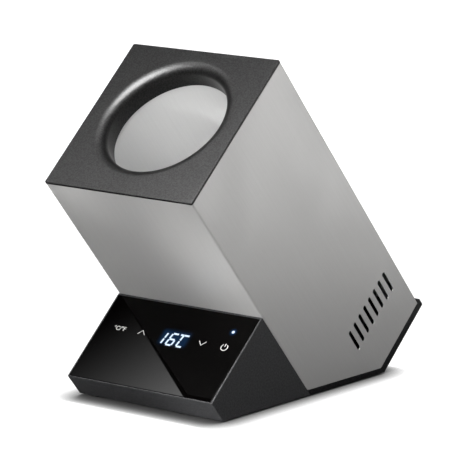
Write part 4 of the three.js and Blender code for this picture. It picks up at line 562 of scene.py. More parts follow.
window_ends = (level(0, WINDOW_LOW), level(0, WINDOW_HIGH))
wire_window = add_block(span(WINDOW_HALF), span(PAST), window_ends)
seam = add_block(
    span(SEAM_WIDTH / 2),
    (BODY_DEPTH - SEAM_DEPTH, BODY_DEPTH + PAST),
    (SLEEVE_END - PAST, SLEEVE_TOP + PAST),
)
cut(sleeve, vent, wire_window, seam)
soften(sleeve, SHEET_EDGE)
for side in (-1, 1):
    wall = side * (HALF_WIDTH - SHEET / 2)
    for screw_y in END_SCREW_Y:
        tab = add_block(
            sorted((wall, wall - side * TAB_REACH)),
            span(TAB_LENGTH / 2, screw_y),
            (SLEEVE_END, SLEEVE_END + SHEET),
        )
        hole = add_rod(side * END_SCREW_X, screw_y, SCREW_HOLE, span(PAST, SLEEVE_END))
        weld(sleeve, cut(tab, hole))
assemble(sleeve, "steel_sleeve", sleeve_steel, "sleeve_steel", "outer_sleeve")


# Bottle well
# A deep-drawn aluminium cup with a satin anodised inside, which the cold block chills from below. It hangs
# by its flange from the bezel, and a ribbed rubber pad lies on its floor.
BORE_Y = 0.0745
WELL_RADIUS = 0.0509
WELL_WALL = 0.002
WELL_FLANGE = 0.0569
WELL_FLANGE_TOP = 0.1164
WELL_FLOOR_TOP = -0.0694
WELL_FLOOR_DROP = 0.001
WELL_CORNER = 0.005
WELL_EDGE = 0.0012
PAD_RADIUS = 0.0456
PAD_LOW = -0.0691
PAD_HIGH = -0.0661
PAD_GROOVE = 0.001
PAD_ROUND = 0.0008
PAD_GROOVES = (0.0304, 0.0152)
PAD_GROOVE_WIDTH = 0.003
PIT_RANGE = (0.3, 0.7)
MOTTLE_RANGE = (0.35, 0.65)
MOTTLE_SCALE_SHARE = 0.42
PLASTIC_WEAR_AND_HIGHLIGHT = 3.0
PLASTIC_RUBBED_AND_HIGHLIT = 1.7
PLASTIC_RUBBED_AND_HIGHLIT_LIFT = 0.01
GLINT_CHANGE = 0.2
AXIS = TINY / 100
WELL_FINISH = ((0.80, 0.80, 0.795), (0.765, 0.765, 0.76), 0.45, LEAN, FINEST, 0.3)
# A moulded stuff's finish is its colour, its lighter shade, its roughness, the scale and the depth of its
# grain, how much its edges are painted paler as wear and as a painted highlight, and its sheen
RUBBER_GRAIN = 1600
RUBBER_FINISH = ((0.022, 0.022, 0.023), (0.045, 0.045, 0.045), 0.75, RUBBER_GRAIN)


def arc(radius, centre, start, end, steps):
    """Points of a profile on an arc, from one angle in degrees to another."""
    points = []
    for step in range(steps + 1):
        angle = math.radians(start + (end - start) * step / steps)
        points.append((centre[0] + radius * math.cos(angle), centre[1] + radius * math.sin(angle)))
    return points


def add_turned(points, closed=False, sides=128):
    """A turned piece, raised ring by ring from a circle through its profile of radius and height."""
    (radius, height), *others = points
    bpy.ops.mesh.primitive_circle_add(vertices=sides, radius=radius)
    piece = place(bpy.context.object, 0, 0, height)
    open_mesh(piece)
    for next_radius, next_height in [*others, points[0]] if closed else others:
        rise = (0, 0, next_height - height)
        share = next_radius / radius
        bpy.ops.mesh.extrude_region_move(TRANSFORM_OT_translate={"value": rise})
        bpy.ops.transform.resize(value=(share, share, 1), center_override=(0, 0, next_height))
        radius, height = next_radius, next_height
    bpy.ops.mesh.select_all(action="SELECT")
    bpy.ops.mesh.remove_doubles(threshold=TINY / 10)
    close_outward()
    return piece


# grain is the fine pitted texture that a mould gives plastic or rubber
grain, grain_in, grain_out = new_group("grain", ["Vector"], {"Scale": RUBBER_GRAIN}, ["Pits", "Mottle"])
grain_place, grain_scale = grain_in["Vector"], grain_in["Scale"]
grain_fine = noise_node(grain, grain_place, grain_scale, 2, 0.6)
grain_wide_scale = math_node(grain, "MULTIPLY", grain_scale, MOTTLE_SCALE_SHARE)
grain_wide = noise_node(grain, grain_place, grain_wide_scale, 3, 0.7)
pits, mottle = spread(grain, grain_fine, *PIT_RANGE), spread(grain, grain_wide, *MOTTLE_RANGE)
feed(grain, grain_out, {"Pits": pits, "Mottle": mottle})


def moulded(name, paint, light, roughness, scale, depth=4 * FINEST, edge=0.5, sheen=0.5):
    """Plastic or rubber: grain in its colour, sheen and surface, and painted paler at its edges, as wear
    and as a painted highlight.
    """
    material, tree, shader = new_material(name)
    texture = use_group(tree, grain, Vector=place_of(tree), Scale=scale)
    edges = use_group(tree, edge_wear_and_highlight, Radius=WEAR_AND_HIGHLIGHT_RADIUS, Gain=PLASTIC_WEAR_AND_HIGHLIGHT * edge)
    mottled = tint(tree, texture["Mottle"], paint, light)
    # Edges are painted paler: partly wear, partly a painted highlight
    rubbed_and_highlit = tuple(min(1.0, channel * PLASTIC_RUBBED_AND_HIGHLIT + PLASTIC_RUBBED_AND_HIGHLIT_LIFT) for channel in light)
    rough_ends = (roughness - ROUGH_CHANGE, roughness + ROUGH_CHANGE)
    glint_ends = (sheen * (1 - GLINT_CHANGE), sheen * (1 + GLINT_CHANGE))
    looks = {
        "Base Color": tint(tree, edges["Mask"], mottled, rubbed_and_highlit),
        "Roughness": spread(tree, texture["Mottle"], 0.0, 1.0, *rough_ends),
        "Specular IOR Level": spread(tree, texture["Mottle"], 0.0, 1.0, *glint_ends),
        "Normal": new_node(tree, "Bump", Strength=0.6, Distance=depth, Height=texture["Pits"]),
    }
    feed(tree, shader, looks)
    return material


well_aluminium = brushed_metal("well_aluminium", *WELL_FINISH)
rubber = moulded("rubber", *RUBBER_FINISH)

well = add_turned(
    [
        (WELL_FLANGE, WELL_FLANGE_TOP),
        *arc(WELL_EDGE, (WELL_RADIUS + WELL_EDGE, WELL_FLANGE_TOP - WELL_EDGE), 90, 180, 6),
        *arc(WELL_CORNER, (WELL_RADIUS - WELL_CORNER, WELL_FLOOR_TOP + WELL_CORNER), 0, -90, 12),
        (WELL_RADIUS / 2, WELL_FLOOR_TOP),
        (AXIS, WELL_FLOOR_TOP),
    ]
)
open_mesh(well)
bpy.ops.mesh.flip_normals()
close_mesh()
place(well, 0, BORE_Y, 0)
well_faces = [p.normal.z for p in well.data.polygons if near(p.center.z, WELL_FLOOR_TOP)]
modify(well, "SOLIDIFY", thickness=WELL_WALL, offset=-1 if well_faces[0] > 0 else 1)
open_mesh(well)
take("VERT", lambda m: m.z < WELL_FLOOR_TOP - WELL_WALL / 2)
bpy.ops.transform.translate(value=(0, 0, -WELL_FLOOR_DROP))
close_outward()
assemble(well, "cooled_well", well_aluminium, "well_aluminium", "bottle_well")

pad_profile = [(AXIS, PAD_LOW), (PAD_RADIUS, PAD_LOW)]
pad_profile += arc(PAD_ROUND, (PAD_RADIUS - PAD_ROUND, PAD_HIGH - PAD_ROUND), 0, 90, 5)
for groove in PAD_GROOVES:
    pad_profile += [
        (groove + PAD_GROOVE_WIDTH / 2, PAD_HIGH),
        (groove + PAD_GROOVE_WIDTH / 2 - PAD_GROOVE / 3, PAD_HIGH - PAD_GROOVE),
        (groove - PAD_GROOVE_WIDTH / 2 + PAD_GROOVE / 3, PAD_HIGH - PAD_GROOVE),
        (groove - PAD_GROOVE_WIDTH / 2, PAD_HIGH),
    ]
pad_profile += [(AXIS, PAD_HIGH)]
pad = place(add_turned(pad_profile), 0, BORE_Y, 0)
assemble(pad, "ribbed_pad", rubber, "rubber", "bottle_pad")


# Top bezel
# One moulding in dark grey grained plastic. Its mouth rolls over in a broad lip into the collar, a skirt
# fits inside the sleeve, and four hooks snap under the flange of the well.
BEZEL_PLATE = 0.002
BEZEL_CORNER = 0.0012
BEZEL_EDGE = 0.0004
BORE_RADIUS = 0.0492
LIP_REACH = 0.0088
LIP_DEPTH = 0.007
COLLAR_END = 0.1145
COLLAR_WALL = 0.0014
LAND = 0.1185
LAND_RADIUS = 0.0578
SKIRT_END = 0.1234
SKIRT_WALL = 0.0018
SKIRT_INSET = SHEET + GAP
HOOK_INNER = 0.0572
HOOK_THICK = 0.0024
HOOK_WIDTH = 0.012
HOOK_LOW = 0.1117
HOOK_GRIP = 0.0026
BEZEL_FINISH = ((0.0047, 0.0045, 0.0045), (0.0085, 0.0082, 0.0082), 0.39, 1900, 2 * FINEST, 0.5, 0.42)

bezel_plastic = moulded("bezel_plastic", *BEZEL_FINISH)
lip_edge = BORE_RADIUS + LIP_REACH


def lip_round(inset, steps):
    """The lip's round from the collar's wall up to the flat top, this far inside its surface."""
    reach, drop = LIP_REACH - inset, LIP_DEPTH - inset
    return [(lip_edge + reach * a, TOP - LIP_DEPTH + drop * b) for a, b in arc(1, (0, 0), 180, 90, steps)]


bezel_ring = add_turned(
    [
        (BORE_RADIUS, COLLAR_END + BEZEL_EDGE),
        *lip_round(0, 20),
        (lip_edge + BEZEL_PLATE, TOP),
        (lip_edge + BEZEL_PLATE, TOP - BEZEL_PLATE),
        *reversed(lip_round(BEZEL_PLATE, 12)),
        (BORE_RADIUS + BEZEL_PLATE, LAND + BEZEL_PLATE),
        (LAND_RADIUS, LAND + BEZEL_PLATE),
        (LAND_RADIUS, LAND),
        (BORE_RADIUS + COLLAR_WALL, LAND),
        (BORE_RADIUS + COLLAR_WALL, COLLAR_END),
        (BORE_RADIUS + BEZEL_EDGE, COLLAR_END),
    ],
    closed=True,
    sides=192,
)
place(bezel_ring, 0, BORE_Y, 0)
bezel = add_block(span(HALF_WIDTH), (0, BODY_DEPTH), (TOP - BEZEL_PLATE, TOP))
round_edges(bezel, lambda m: near(m.z, TOP - BEZEL_PLATE / 2), BEZEL_CORNER, 6)
round_edges(bezel, lambda m: near(m.z, TOP), BEZEL_EDGE, 3)
cut(bezel, add_rod(0, BORE_Y, lip_edge + BEZEL_PLATE / 2, (TOP - 2 * BEZEL_PLATE, TOP + PAST), 192))
weld(bezel, bezel_ring)
skirt_inner = SKIRT_INSET + SKIRT_WALL
skirt = add_block(
    span(HALF_WIDTH - SKIRT_INSET),
    (SKIRT_INSET, BODY_DEPTH - SKIRT_INSET),
    (SKIRT_END, TOP - BEZEL_PLATE + TINY),
)
skirt_hollow = add_block(
    span(HALF_WIDTH - skirt_inner), (skirt_inner, BODY_DEPTH - skirt_inner), (SKIRT_END - PAST, TOP)
)
weld(bezel, cut(skirt, skirt_hollow))
for quarter in (45, 135, 225, 315):
    hook = add_block(
        (HOOK_INNER, HOOK_INNER + HOOK_THICK), span(HOOK_WIDTH / 2), (HOOK_LOW, LAND + BEZEL_PLATE / 2)
    )
    catch = add_block(
        (HOOK_INNER - HOOK_GRIP, HOOK_INNER + HOOK_THICK),
        span(HOOK_WIDTH / 2),
        (HOOK_LOW, HOOK_LOW + HOOK_THICK),
    )
    weld(hook, catch)
    hook.rotation_euler = (0, 0, math.radians(quarter))
    weld(bezel, place(hook, 0, BORE_Y, 0))
assemble(bezel, "grained_bezel", bezel_plastic, "bezel_plastic", "top_bezel")


# Finish of the solids that keep their shape
def dress(material, *nodes):
    """Gives CAD nodes a finish. Their shapes stay."""
    for node in nodes:
        paint_with(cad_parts[node], material)


def dress_all(make, finishes):
    """Makes each finish of a table and gives it to the nodes that end its line."""
    for name, (*values, nodes) in finishes.items():
        dress(make(name, *values), *nodes)


dress(rubber, "well_gasket")


# Cold side and hot side
# A milled block carries the cold plate of the thermoelectric module under the well's floor, and an
# extruded finned sink takes its heat. Two halves of foam fill the room round the well.
SCREW_FINISH = ((0.52, 0.52, 0.53), (0.40, 0.40, 0.41), 0.32)
SCREWS = {"cold_block_screw": 2, "clamp_bolt": 2, "housing_screw": 2, "fan_screw": 4, "bottom_screw": 4}

# A table's line is a finish and then the nodes that get it
COLD_METALS = {
    "block_aluminium": ((0.66, 0.66, 0.67), (0.55, 0.55, 0.56), 0.38, ("cold_block", "heat_sink")),
}
COLD_STUFFS = {
    "module_ceramic": ((0.68, 0.67, 0.64), (0.80, 0.79, 0.76), 0.55, 1800, FINEST, ("peltier_module",)),
    "foam": (
        (0.055, 0.055, 0.060), (0.11, 0.11, 0.115), 0.9, 420, 40 * FINEST,
        ("peltier_frame", "insulation_left", "insulation_right"),
    ),
    "sensor_resin": ((0.03, 0.03, 0.032), (0.06, 0.06, 0.06), 0.35, 900, FINEST, ("temperature_sensor",)),
}

screw_steel = brushed_metal("screw_steel", *SCREW_FINISH)
screw_names = [f"{kind}_{number + 1}" for kind, count in SCREWS.items() for number in range(count)]
dress(screw_steel, "fan_shaft", *screw_names)
dress_all(brushed_metal, COLD_METALS)
dress_all(moulded, COLD_STUFFS)


# Fan
# An axial fan that draws air in through the grille below it and blows it up through the fins. Frame and
# rotor are black moulded plastic, and the rotor turns on a shaft in a brass bush. Copper winds the stator.
FAN_METALS = {
    "bush_brass": ((0.78, 0.60, 0.30), (0.62, 0.46, 0.22), 0.3, ("fan_bush",)),
    "stator_copper": ((0.80, 0.42, 0.26), (0.60, 0.28, 0.16), 0.35, ("fan_stator", "inductor")),
}
FAN_STUFFS = {
    "fan_plastic": ((0.020, 0.020, 0.021), (0.036, 0.036, 0.037), 0.45, 1400, ("fan_frame", "fan_rotor")),
    "magnet_rubber": ((0.06, 0.055, 0.055), (0.10, 0.095, 0.09), 0.6, 1400, ("fan_magnet",)),
}

dress_all(brushed_metal, FAN_METALS)
dress_all(moulded, FAN_STUFFS)


# Base cover
# One black moulding that closes the sleeve under its level cut and at its end. It carries the air grille,
# the hole of the power inlet and the sockets of two feet, and four screws hold it to the sleeve.
COVER_END = -0.1638
COVER_BACK = 0.1456
COVER_LIP_TOP = -0.1548
COVER_EDGE = 0.0005
COVER_RIM = 0.0022
COVER_WALL = 0.0024
MOULD_LIFT = 0.0012
RIM_TOP = 0.005477
RIM_END = -0.1573
BOSS_RADIUS = 0.0042
HEAD_HOLE = 0.0031
HEAD_DEPTH = 0.0023
GRILLE_Y = 0.107
GRILLE_RADIUS = 0.029
GRILLE_PITCH = 0.005
GRILLE_SLOT = 0.0028
GRILLE_HUB = 0.007
DUCT_WALL = 0.0016
FAN_UNDERSIDE = -0.1494
FAN_SCREW_HEAD = (0.025, 0.128, 0.0032)
FAN_SCREW_END = -0.152
JACK_X = -0.046
JACK_Y = 0.126
JACK_HOLE = 0.0057
FOOT_RADIUS = 0.006
FOOT_HEIGHT = 0.003
FOOT_X = 0.056
REAR_FOOT_Y = 0.084003
FRONT_FOOT_Y = -0.094086
BASE_FINISH = ((0.0065, 0.0065, 0.0068), (0.011, 0.011, 0.0115), 0.42, 1300, 3 * FINEST)


def add_outline(points, half):
    """A straight-sided piece: an outline drawn out along the width, to both sides of the middle."""
    bpy.ops.mesh.primitive_circle_add(vertices=len(points), radius=1, fill_type="NGON")
    piece = bpy.context.object
    open_mesh(piece)
    mesh = bmesh.from_edit_mesh(piece.data)
    for corner, (depth, height) in zip(mesh.verts, points):
        corner.co = (-half, depth, height)
    bmesh.update_edit_mesh(piece.data)
    bpy.ops.mesh.extrude_region_move(TRANSFORM_OT_translate={"value": (2 * half, 0, 0)})
    close_outward()
    return piece


def depth_at(z, height):
    """The leaning frame's depth at z, on the plane that lies this far above the table."""
    return (height - ZERO_HEIGHT - z * math.cos(LEAN)) / math.sin(LEAN)


def stand(piece):
    """Turns a piece that was drawn upright over the table into the leaning frame."""
    piece.matrix_world = leaning.inverted()
    return settle(piece)


base_plastic = moulded("base_plastic", *BASE_FINISH)
floor_of_cover = MOULD_LIFT + COVER_WALL
inside_end = COVER_END + COVER_WALL
lip_front = BODY_DEPTH + GAP
lip_round_radius = COVER_BACK - lip_front
cover = add_outline(
    [
        (GAP, level(GAP, MOULD_LIFT)),
        (depth_at(COVER_END, MOULD_LIFT), COVER_END),
        (COVER_BACK, COVER_END),
        *arc(lip_round_radius, (lip_front, COVER_LIP_TOP - lip_round_radius), 0, 90, 10),
        (lip_front, RIM_END),
        (depth_at(RIM_END, RIM_TOP), RIM_END),
        (GAP, level(GAP, RIM_TOP)),
    ],
    HALF_WIDTH,
)
soften(cover, COVER_EDGE, 3, 20)
cover_hollow = add_outline(
    [
        (GAP + COVER_RIM, level(GAP + COVER_RIM, floor_of_cover)),
        (depth_at(inside_end, floor_of_cover), inside_end),
        (BODY_DEPTH - COVER_RIM, inside_end),
        (BODY_DEPTH - COVER_RIM, TOP),
        (GAP + COVER_RIM, TOP),
    ],
    HALF_WIDTH - COVER_RIM,
)
cut(cover, cover_hollow)
for side in (-1, 1):
    for screw_y in END_SCREW_Y:
        screw_x = side * END_SCREW_X
        weld(cover, add_rod(screw_x, screw_y, BOSS_RADIUS, (COVER_END + COVER_WALL / 2, RIM_END), 32))
        cut(
            cover,
            add_rod(screw_x, screw_y, SCREW_HOLE, (COVER_END - PAST, RIM_END + PAST), 32),
            add_rod(screw_x, screw_y, HEAD_HOLE, (COVER_END - PAST, COVER_END + HEAD_DEPTH), 32),
        )
    socket_roof = FOOT_HEIGHT + COVER_WALL / 2
    foot_boss = add_rod(
        side * FOOT_X, REAR_FOOT_Y, FOOT_RADIUS + COVER_WALL, (MOULD_LIFT + TINY, socket_roof)
    )
    weld(cover, stand(foot_boss))
    foot_socket = add_rod(side * FOOT_X, REAR_FOOT_Y, FOOT_RADIUS + GAP, (-PAST, FOOT_HEIGHT + GAP))
    cut(cover, stand(foot_socket))
grille_rows = int(GRILLE_RADIUS / GRILLE_PITCH)
for row in range(-grille_rows, grille_rows + 1):
    rise = row * GRILLE_PITCH
    reach = math.sqrt(GRILLE_RADIUS**2 - rise**2)
    start = max(math.sqrt(max(GRILLE_HUB**2 - rise**2, 0)), GRILLE_SLOT / 2)
    for side in (-1, 1):
        slot = add_block(
            sorted((side * start, side * reach)),
            span(GRILLE_SLOT / 2, GRILLE_Y + rise),
            (COVER_END - PAST, inside_end + PAST),
        )
        round_edges(slot, lambda m: near(m.z, (COVER_END + inside_end) / 2), GRILLE_SLOT / 3, 4)
        cut(cover, slot)
# A ring stands round the grille inside and leads the air to the fan
duct_inner = GRILLE_RADIUS + GAP
duct = add_rod(0, GRILLE_Y, duct_inner + DUCT_WALL, (inside_end - PAST / 2, FAN_UNDERSIDE - GAP))
cut(duct, add_rod(0, GRILLE_Y, duct_inner, (COVER_END, TOP)))
for side in (-1, 1):
    head_x, head_y, head_room = FAN_SCREW_HEAD
    cut(duct, add_rod(side * head_x, head_y, head_room, (FAN_SCREW_END, TOP), 32))
weld(cover, duct)
cut(cover, add_rod(JACK_X, JACK_Y, JACK_HOLE, (COVER_END - PAST, inside_end + PAST)))
assemble(cover, "base_moulding", base_plastic, "base_plastic", "base_cover")


# Power inlet
# A panel-mounting barrel with a centre pin, in black nylon, held by a nut inside the cover.
JACK_FLANGE = 0.0072
JACK_FLANGE_THICK = 0.0014
JACK_BARREL = 0.0054
JACK_BORE = 0.0029
JACK_PIN = 0.001
JACK_PIN_TIP_SHARE = 0.7
JACK_FACE = COVER_END - GAP
JACK_LENGTH = 0.014
JACK_BORE_DEPTH = 0.010
JACK_ROUND = 0.0005
NYLON_FINISH = ((0.014, 0.014, 0.015), (0.026, 0.026, 0.027), 0.35, 1500, FINEST)

jack_plastic = moulded("jack_plastic", *NYLON_FINISH)
jack_outside = JACK_FACE - JACK_FLANGE_THICK
jack_floor = jack_outside + JACK_BORE_DEPTH
jack = add_turned(
    [
        (AXIS, jack_floor),
        (JACK_BORE, jack_floor),
        (JACK_BORE, jack_outside + JACK_ROUND),
        (JACK_BORE + JACK_ROUND, jack_outside),
        *arc(JACK_ROUND, (JACK_FLANGE - JACK_ROUND, jack_outside + JACK_ROUND), -90, 0, 5),
        (JACK_FLANGE, JACK_FACE),
        (JACK_BARREL, JACK_FACE),
        (JACK_BARREL, JACK_FACE + JACK_LENGTH),
        (AXIS, JACK_FACE + JACK_LENGTH),
    ],
    sides=64,
)
pin = add_turned(
    [
        (AXIS, jack_outside + JACK_ROUND),
        (JACK_PIN * JACK_PIN_TIP_SHARE, jack_outside + JACK_ROUND),
        (JACK_PIN, jack_outside + 2 * JACK_ROUND),
        (JACK_PIN, jack_floor - TINY),
        (AXIS, jack_floor - TINY),
    ],
    sides=32,
)
place(jack, JACK_X, JACK_Y, 0)
place(pin, JACK_X, JACK_Y, 0)
assemble(jack, "inlet_barrel", jack_plastic, "jack_plastic", "power_jack")
assemble(pin, "inlet_pin", screw_steel, "screw_steel")
dress(jack_plastic, "jack_nut")


# Control housing
# The wedge in front of the sleeve, moulded in the same dark plastic. A shallow seat takes the glass, and
# the walls run down to just above the table.
PANEL_LENGTH = 0.0827
HOUSING_BACK = -0.0003
HOUSING_EDGE = 0.0007
HOUSING_WALL = 0.0024
GLASS_THICK = 0.002
GLASS_HALF = 0.0685
GLASS_TOP_EDGE = -0.0018
GLASS_TOE_EDGE = -0.0816
GLASS_CORNER = 0.0008
GLASS_CHAMFER = 0.0005
PANEL_UNDERSIDE = -0.0043
ICON_LINE = -0.032
LED_LINE = -0.0173
DISPLAY_X = 0.006
DISPLAY_HALF = (0.0153, 0.0073)
LED_X = 0.0524
HOUSING_FINISH = ((0.032, 0.032, 0.0335), (0.046, 0.046, 0.048), 0.5, 1700, 2 * FINEST, 0.2, 0.25)

housing_plastic = moulded("housing_plastic", *HOUSING_FINISH)
housing = add_outline(
    [
        (HOUSING_BACK, 0),
        (-PANEL_LENGTH, 0),
        (-PANEL_LENGTH, level(-PANEL_LENGTH, MOULD_LIFT)),
        (HOUSING_BACK, level(HOUSING_BACK, MOULD_LIFT)),
    ],
    HALF_WIDTH,
)
round_edges(housing, lambda m: m.y < HOUSING_BACK - TINY, HOUSING_EDGE, 4)
toe_inside = -PANEL_LENGTH + HOUSING_WALL
housing_hollow = add_outline(
    [
        (HOUSING_BACK + PAST, PANEL_UNDERSIDE),
        (toe_inside, PANEL_UNDERSIDE),
        (toe_inside, level(toe_inside, -PAST)),
        (HOUSING_BACK + PAST, level(HOUSING_BACK + PAST, -PAST)),
    ],
    HALF_WIDTH - HOUSING_WALL,
)
glass_seat = add_block(
    span(GLASS_HALF + GAP), (GLASS_TOE_EDGE - GAP, GLASS_TOP_EDGE + GAP), (-GLASS_THICK - GAP, PAST)
)
display_window = add_block(
    span(DISPLAY_HALF[0], DISPLAY_X), span(DISPLAY_HALF[1], ICON_LINE), (PANEL_UNDERSIDE - PAST, PAST)
)
led_window = add_rod(LED_X, LED_LINE, SCREW_HOLE, (PANEL_UNDERSIDE - PAST, PAST), 32)
cut(housing, housing_hollow, glass_seat, display_window, led_window)
assemble(housing, "wedge_housing", housing_plastic, "housing_plastic", "control_housing")


# Control glass
# A flat black glass, let into the housing, with ground edges. Touch symbols are printed on it in pale
# grey with a faint painted glow, and the display and the lamp shine through it in cold white with a blue
# bloom.
GLASS_PAINT = (0.0012, 0.0010, 0.0010)
GLASS_IOR = 1.17
GLASS_ROUGHNESS = (0.01, 0.04)
SMEARS = 60
SMEAR_RANGE = (0.4, 0.75)
DUST_PAINT = (0.02, 0.02, 0.02)
DUST_SPECKS = 3800
DUST_RANGE = (0.72, 0.8)
BLOOM_PAINT = (0.016, 0.11, 0.32)
LED_BLOOM = 0.0042
LED_BLOOM_LIGHT = 0.9
WINDOW_BLOOM_SHIFT = 0.0012
WINDOW_BLOOM_HALF = (0.0112, 0.005, 0)
WINDOW_BLOOM = 0.0045
WINDOW_BLOOM_LIGHT = 0.16

# bloom is light that spreads from a lit window through the glass: full inside Half, gone at Reach past it
bloom_vectors = ["Vector", "Centre", "Half"]
bloom, bloom_in, bloom_out = new_group("bloom", bloom_vectors, {"Reach": LED_BLOOM}, ["Mask"])
bloom_offset = vector_node(bloom, "SUBTRACT", bloom_in["Vector"], bloom_in["Centre"])
bloom_away = vector_node(bloom, "ABSOLUTE", bloom_offset)
bloom_past = vector_node(bloom, "SUBTRACT", bloom_away, bloom_in["Half"])
bloom_clear = vector_node(bloom, "MAXIMUM", bloom_past, (0, 0, 0))
bloom_flat = vector_node(bloom, "MULTIPLY", bloom_clear, (1, 1, 0))
bloom_length = vector_node(bloom, "LENGTH", bloom_flat, output="Value")
bloom_ratio = math_node(bloom, "DIVIDE", bloom_length, bloom_in["Reach"])
bloom_fall = math_node(bloom, "SUBTRACT", 1.0, math_node(bloom, "MINIMUM", bloom_ratio, 1.0))
feed(bloom, bloom_out, {"Mask": math_node(bloom, "POWER", bloom_fall, 2.0)})

panel_glass, glass_tree, glass_shader = new_material("panel_glass", IOR=GLASS_IOR, Emission_Strength=1.0)
glass_place = place_of(glass_tree, LEAN, (0, ZERO_FORWARD, ZERO_HEIGHT))
led_shape = {"Centre": (LED_X, LED_LINE, 0), "Half": (0, 0, 0), "Reach": LED_BLOOM}
window_centre = (DISPLAY_X - WINDOW_BLOOM_SHIFT, ICON_LINE, 0)
window_shape = {"Centre": window_centre, "Half": WINDOW_BLOOM_HALF, "Reach": WINDOW_BLOOM}
led_mask = use_group(glass_tree, bloom, Vector=glass_place, **led_shape)["Mask"]
window_mask = use_group(glass_tree, bloom, Vector=glass_place, **window_shape)["Mask"]
led_glow = math_node(glass_tree, "MULTIPLY", led_mask, LED_BLOOM_LIGHT)
window_glow = math_node(glass_tree, "MULTIPLY", window_mask, WINDOW_BLOOM_LIGHT)
glow_sum = math_node(glass_tree, "ADD", window_glow, led_glow)
smear = noise_node(glass_tree, glass_place, SMEARS, 4, 0.6)
dust = spread(glass_tree, noise_node(glass_tree, glass_place, DUST_SPECKS, 1), *DUST_RANGE)
glass_looks = {
    "Base Color": tint(glass_tree, dust, GLASS_PAINT, DUST_PAINT),
    "Roughness": spread(glass_tree, smear, *SMEAR_RANGE, *GLASS_ROUGHNESS),
    "Emission Color": tint(glass_tree, glow_sum, (0, 0, 0), BLOOM_PAINT),
}
feed(glass_tree, glass_shader, glass_looks)

glass = add_block(span(GLASS_HALF), (GLASS_TOE_EDGE, GLASS_TOP_EDGE), (-GLASS_THICK, 0))
round_edges(glass, lambda m: near(m.z, -GLASS_THICK / 2), GLASS_CORNER, 5)
round_edges(glass, lambda m: near(m.z, 0), GLASS_CHAMFER, 3)
assemble(glass, "black_glass", panel_glass, "panel_glass", "control_glass")


# Symbols and figures
# The touch symbols are thin print on the glass, with a faint painted glow. The display's figures are made
# of bars, each a lit window of the display, slanted to the right.
PRINT_RISE = 0.00003
PRINT_PAINT = (0.62, 0.62, 0.60)
PRINT_SHADE = (0.5, 0.5, 0.49)
PRINT_GLOW = (0.7, 0.7, 0.68, 1)
PRINT_LIGHT = 0.18
PRINT_ROUGHNESS = 0.4
PRINT_GRAIN = 5000
STROKE = 0.00034
UP_X = -0.027
DOWN_X = 0.031
ARROW = (0.0034, 0.0019)
UNIT_X = -0.049
UNIT_SIZE = 0.0052
POWER_RADIUS = 0.0029
POWER_GAP = 38
POWER_BAR_SHARES = (0.2, 1.15)
BAR = 0.00078
FIGURE_WIDTH = 0.0056
FIGURE_HEIGHT = 0.0054
SLANT = 0.18
BAR_GAP = 0.00042
FIGURE_PITCH = 0.0088
FIGURES_X = -0.0042
FIGURE_LINE = -0.0334
LIT_BARS = {"1": "bc", "6": "afgecd", "C": "afed"}
LIT_PAINT = (0.1, 0.12, 0.16, 1)
LIT_GLOWS = ((0.62, 0.80, 1.0), (0.78, 0.90, 1.0))
LIT_ROUGHNESS = 0.3
LIT_GRAIN = 900
LAMP_RADIUS = 0.0013


def add_stroke(points, width):
    """A flat printed line with round ends along some points."""
    curve = bpy.data.curves.new("stroke", "CURVE")
    curve.dimensions = "3D"
    curve.bevel_depth = width
    curve.bevel_resolution = 3
    curve.use_fill_caps = True
    spline = curve.splines.new("POLY")
    spline.points.add(len(points) - 1)
    for point, (x, y) in zip(spline.points, points):
        point.co = (x, y, 0, 1)
    piece = new_object("stroke", curve)
    pick(piece)
    bpy.ops.object.convert(target="MESH")
    piece.scale = (1, 1, PRINT_RISE / width)
    return place(piece, 0, 0, PRINT_RISE)


def joined(pieces):
    """Several pieces as one, the first."""
    pick(pieces[0])
    for piece in pieces:
        piece.select_set(True)
    bpy.ops.object.join()
    return pieces[0]


# The print is given a faint painted glow on top of its pale grey
print_start = {"Roughness": PRINT_ROUGHNESS, "Emission_Color": PRINT_GLOW, "Emission_Strength": PRINT_LIGHT}
print_paint, print_tree, print_shader = new_material("glowing_symbol_print", **print_start)
print_grain = spread(print_tree, noise_node(print_tree, place_of(print_tree), PRINT_GRAIN, 2), *PIT_RANGE)
feed(print_tree, print_shader, {"Base Color": tint(print_tree, print_grain, PRINT_SHADE, PRINT_PAINT)})

symbols = []
for arrow_x, rise in ((UP_X, ARROW[1]), (DOWN_X, -ARROW[1])):
    left, right = arrow_x - ARROW[0], arrow_x + ARROW[0]
    arrow = [(left, ICON_LINE - rise), (arrow_x, ICON_LINE + rise), (right, ICON_LINE - rise)]
    symbols.append(add_stroke(arrow, STROKE))
ring = arc(POWER_RADIUS, (LED_X, ICON_LINE), 90 + POWER_GAP, 450 - POWER_GAP, 28)
bar = [(LED_X, ICON_LINE + POWER_RADIUS * share) for share in POWER_BAR_SHARES]
symbols += [add_stroke(ring, STROKE), add_stroke(bar, STROKE)]
bpy.ops.object.text_add()
unit_text = bpy.context.object
unit_text.data.body = "°C/°F"
unit_text.data.align_x = "CENTER"
unit_text.data.align_y = "CENTER"
unit_text.data.size = UNIT_SIZE
unit_text.data.extrude = PRINT_RISE / 2
unit_text.data.offset = STROKE / 4
bpy.ops.object.convert(target="MESH")
symbols.append(place(unit_text, UNIT_X, ICON_LINE, PRINT_RISE))
assemble(joined(symbols), "touch_symbols", print_paint, "panel_glass")

lit_start = {"Roughness": LIT_ROUGHNESS, "Base_Color": LIT_PAINT, "Emission_Strength": 1.0}
display_light, display_tree, display_shader = new_material("display_light", **lit_start)
lit_cloud = spread(display_tree, noise_node(display_tree, place_of(display_tree), LIT_GRAIN, 2), *PIT_RANGE)
feed(display_tree, display_shader, {"Emission Color": tint(display_tree, lit_cloud, *LIT_GLOWS)})


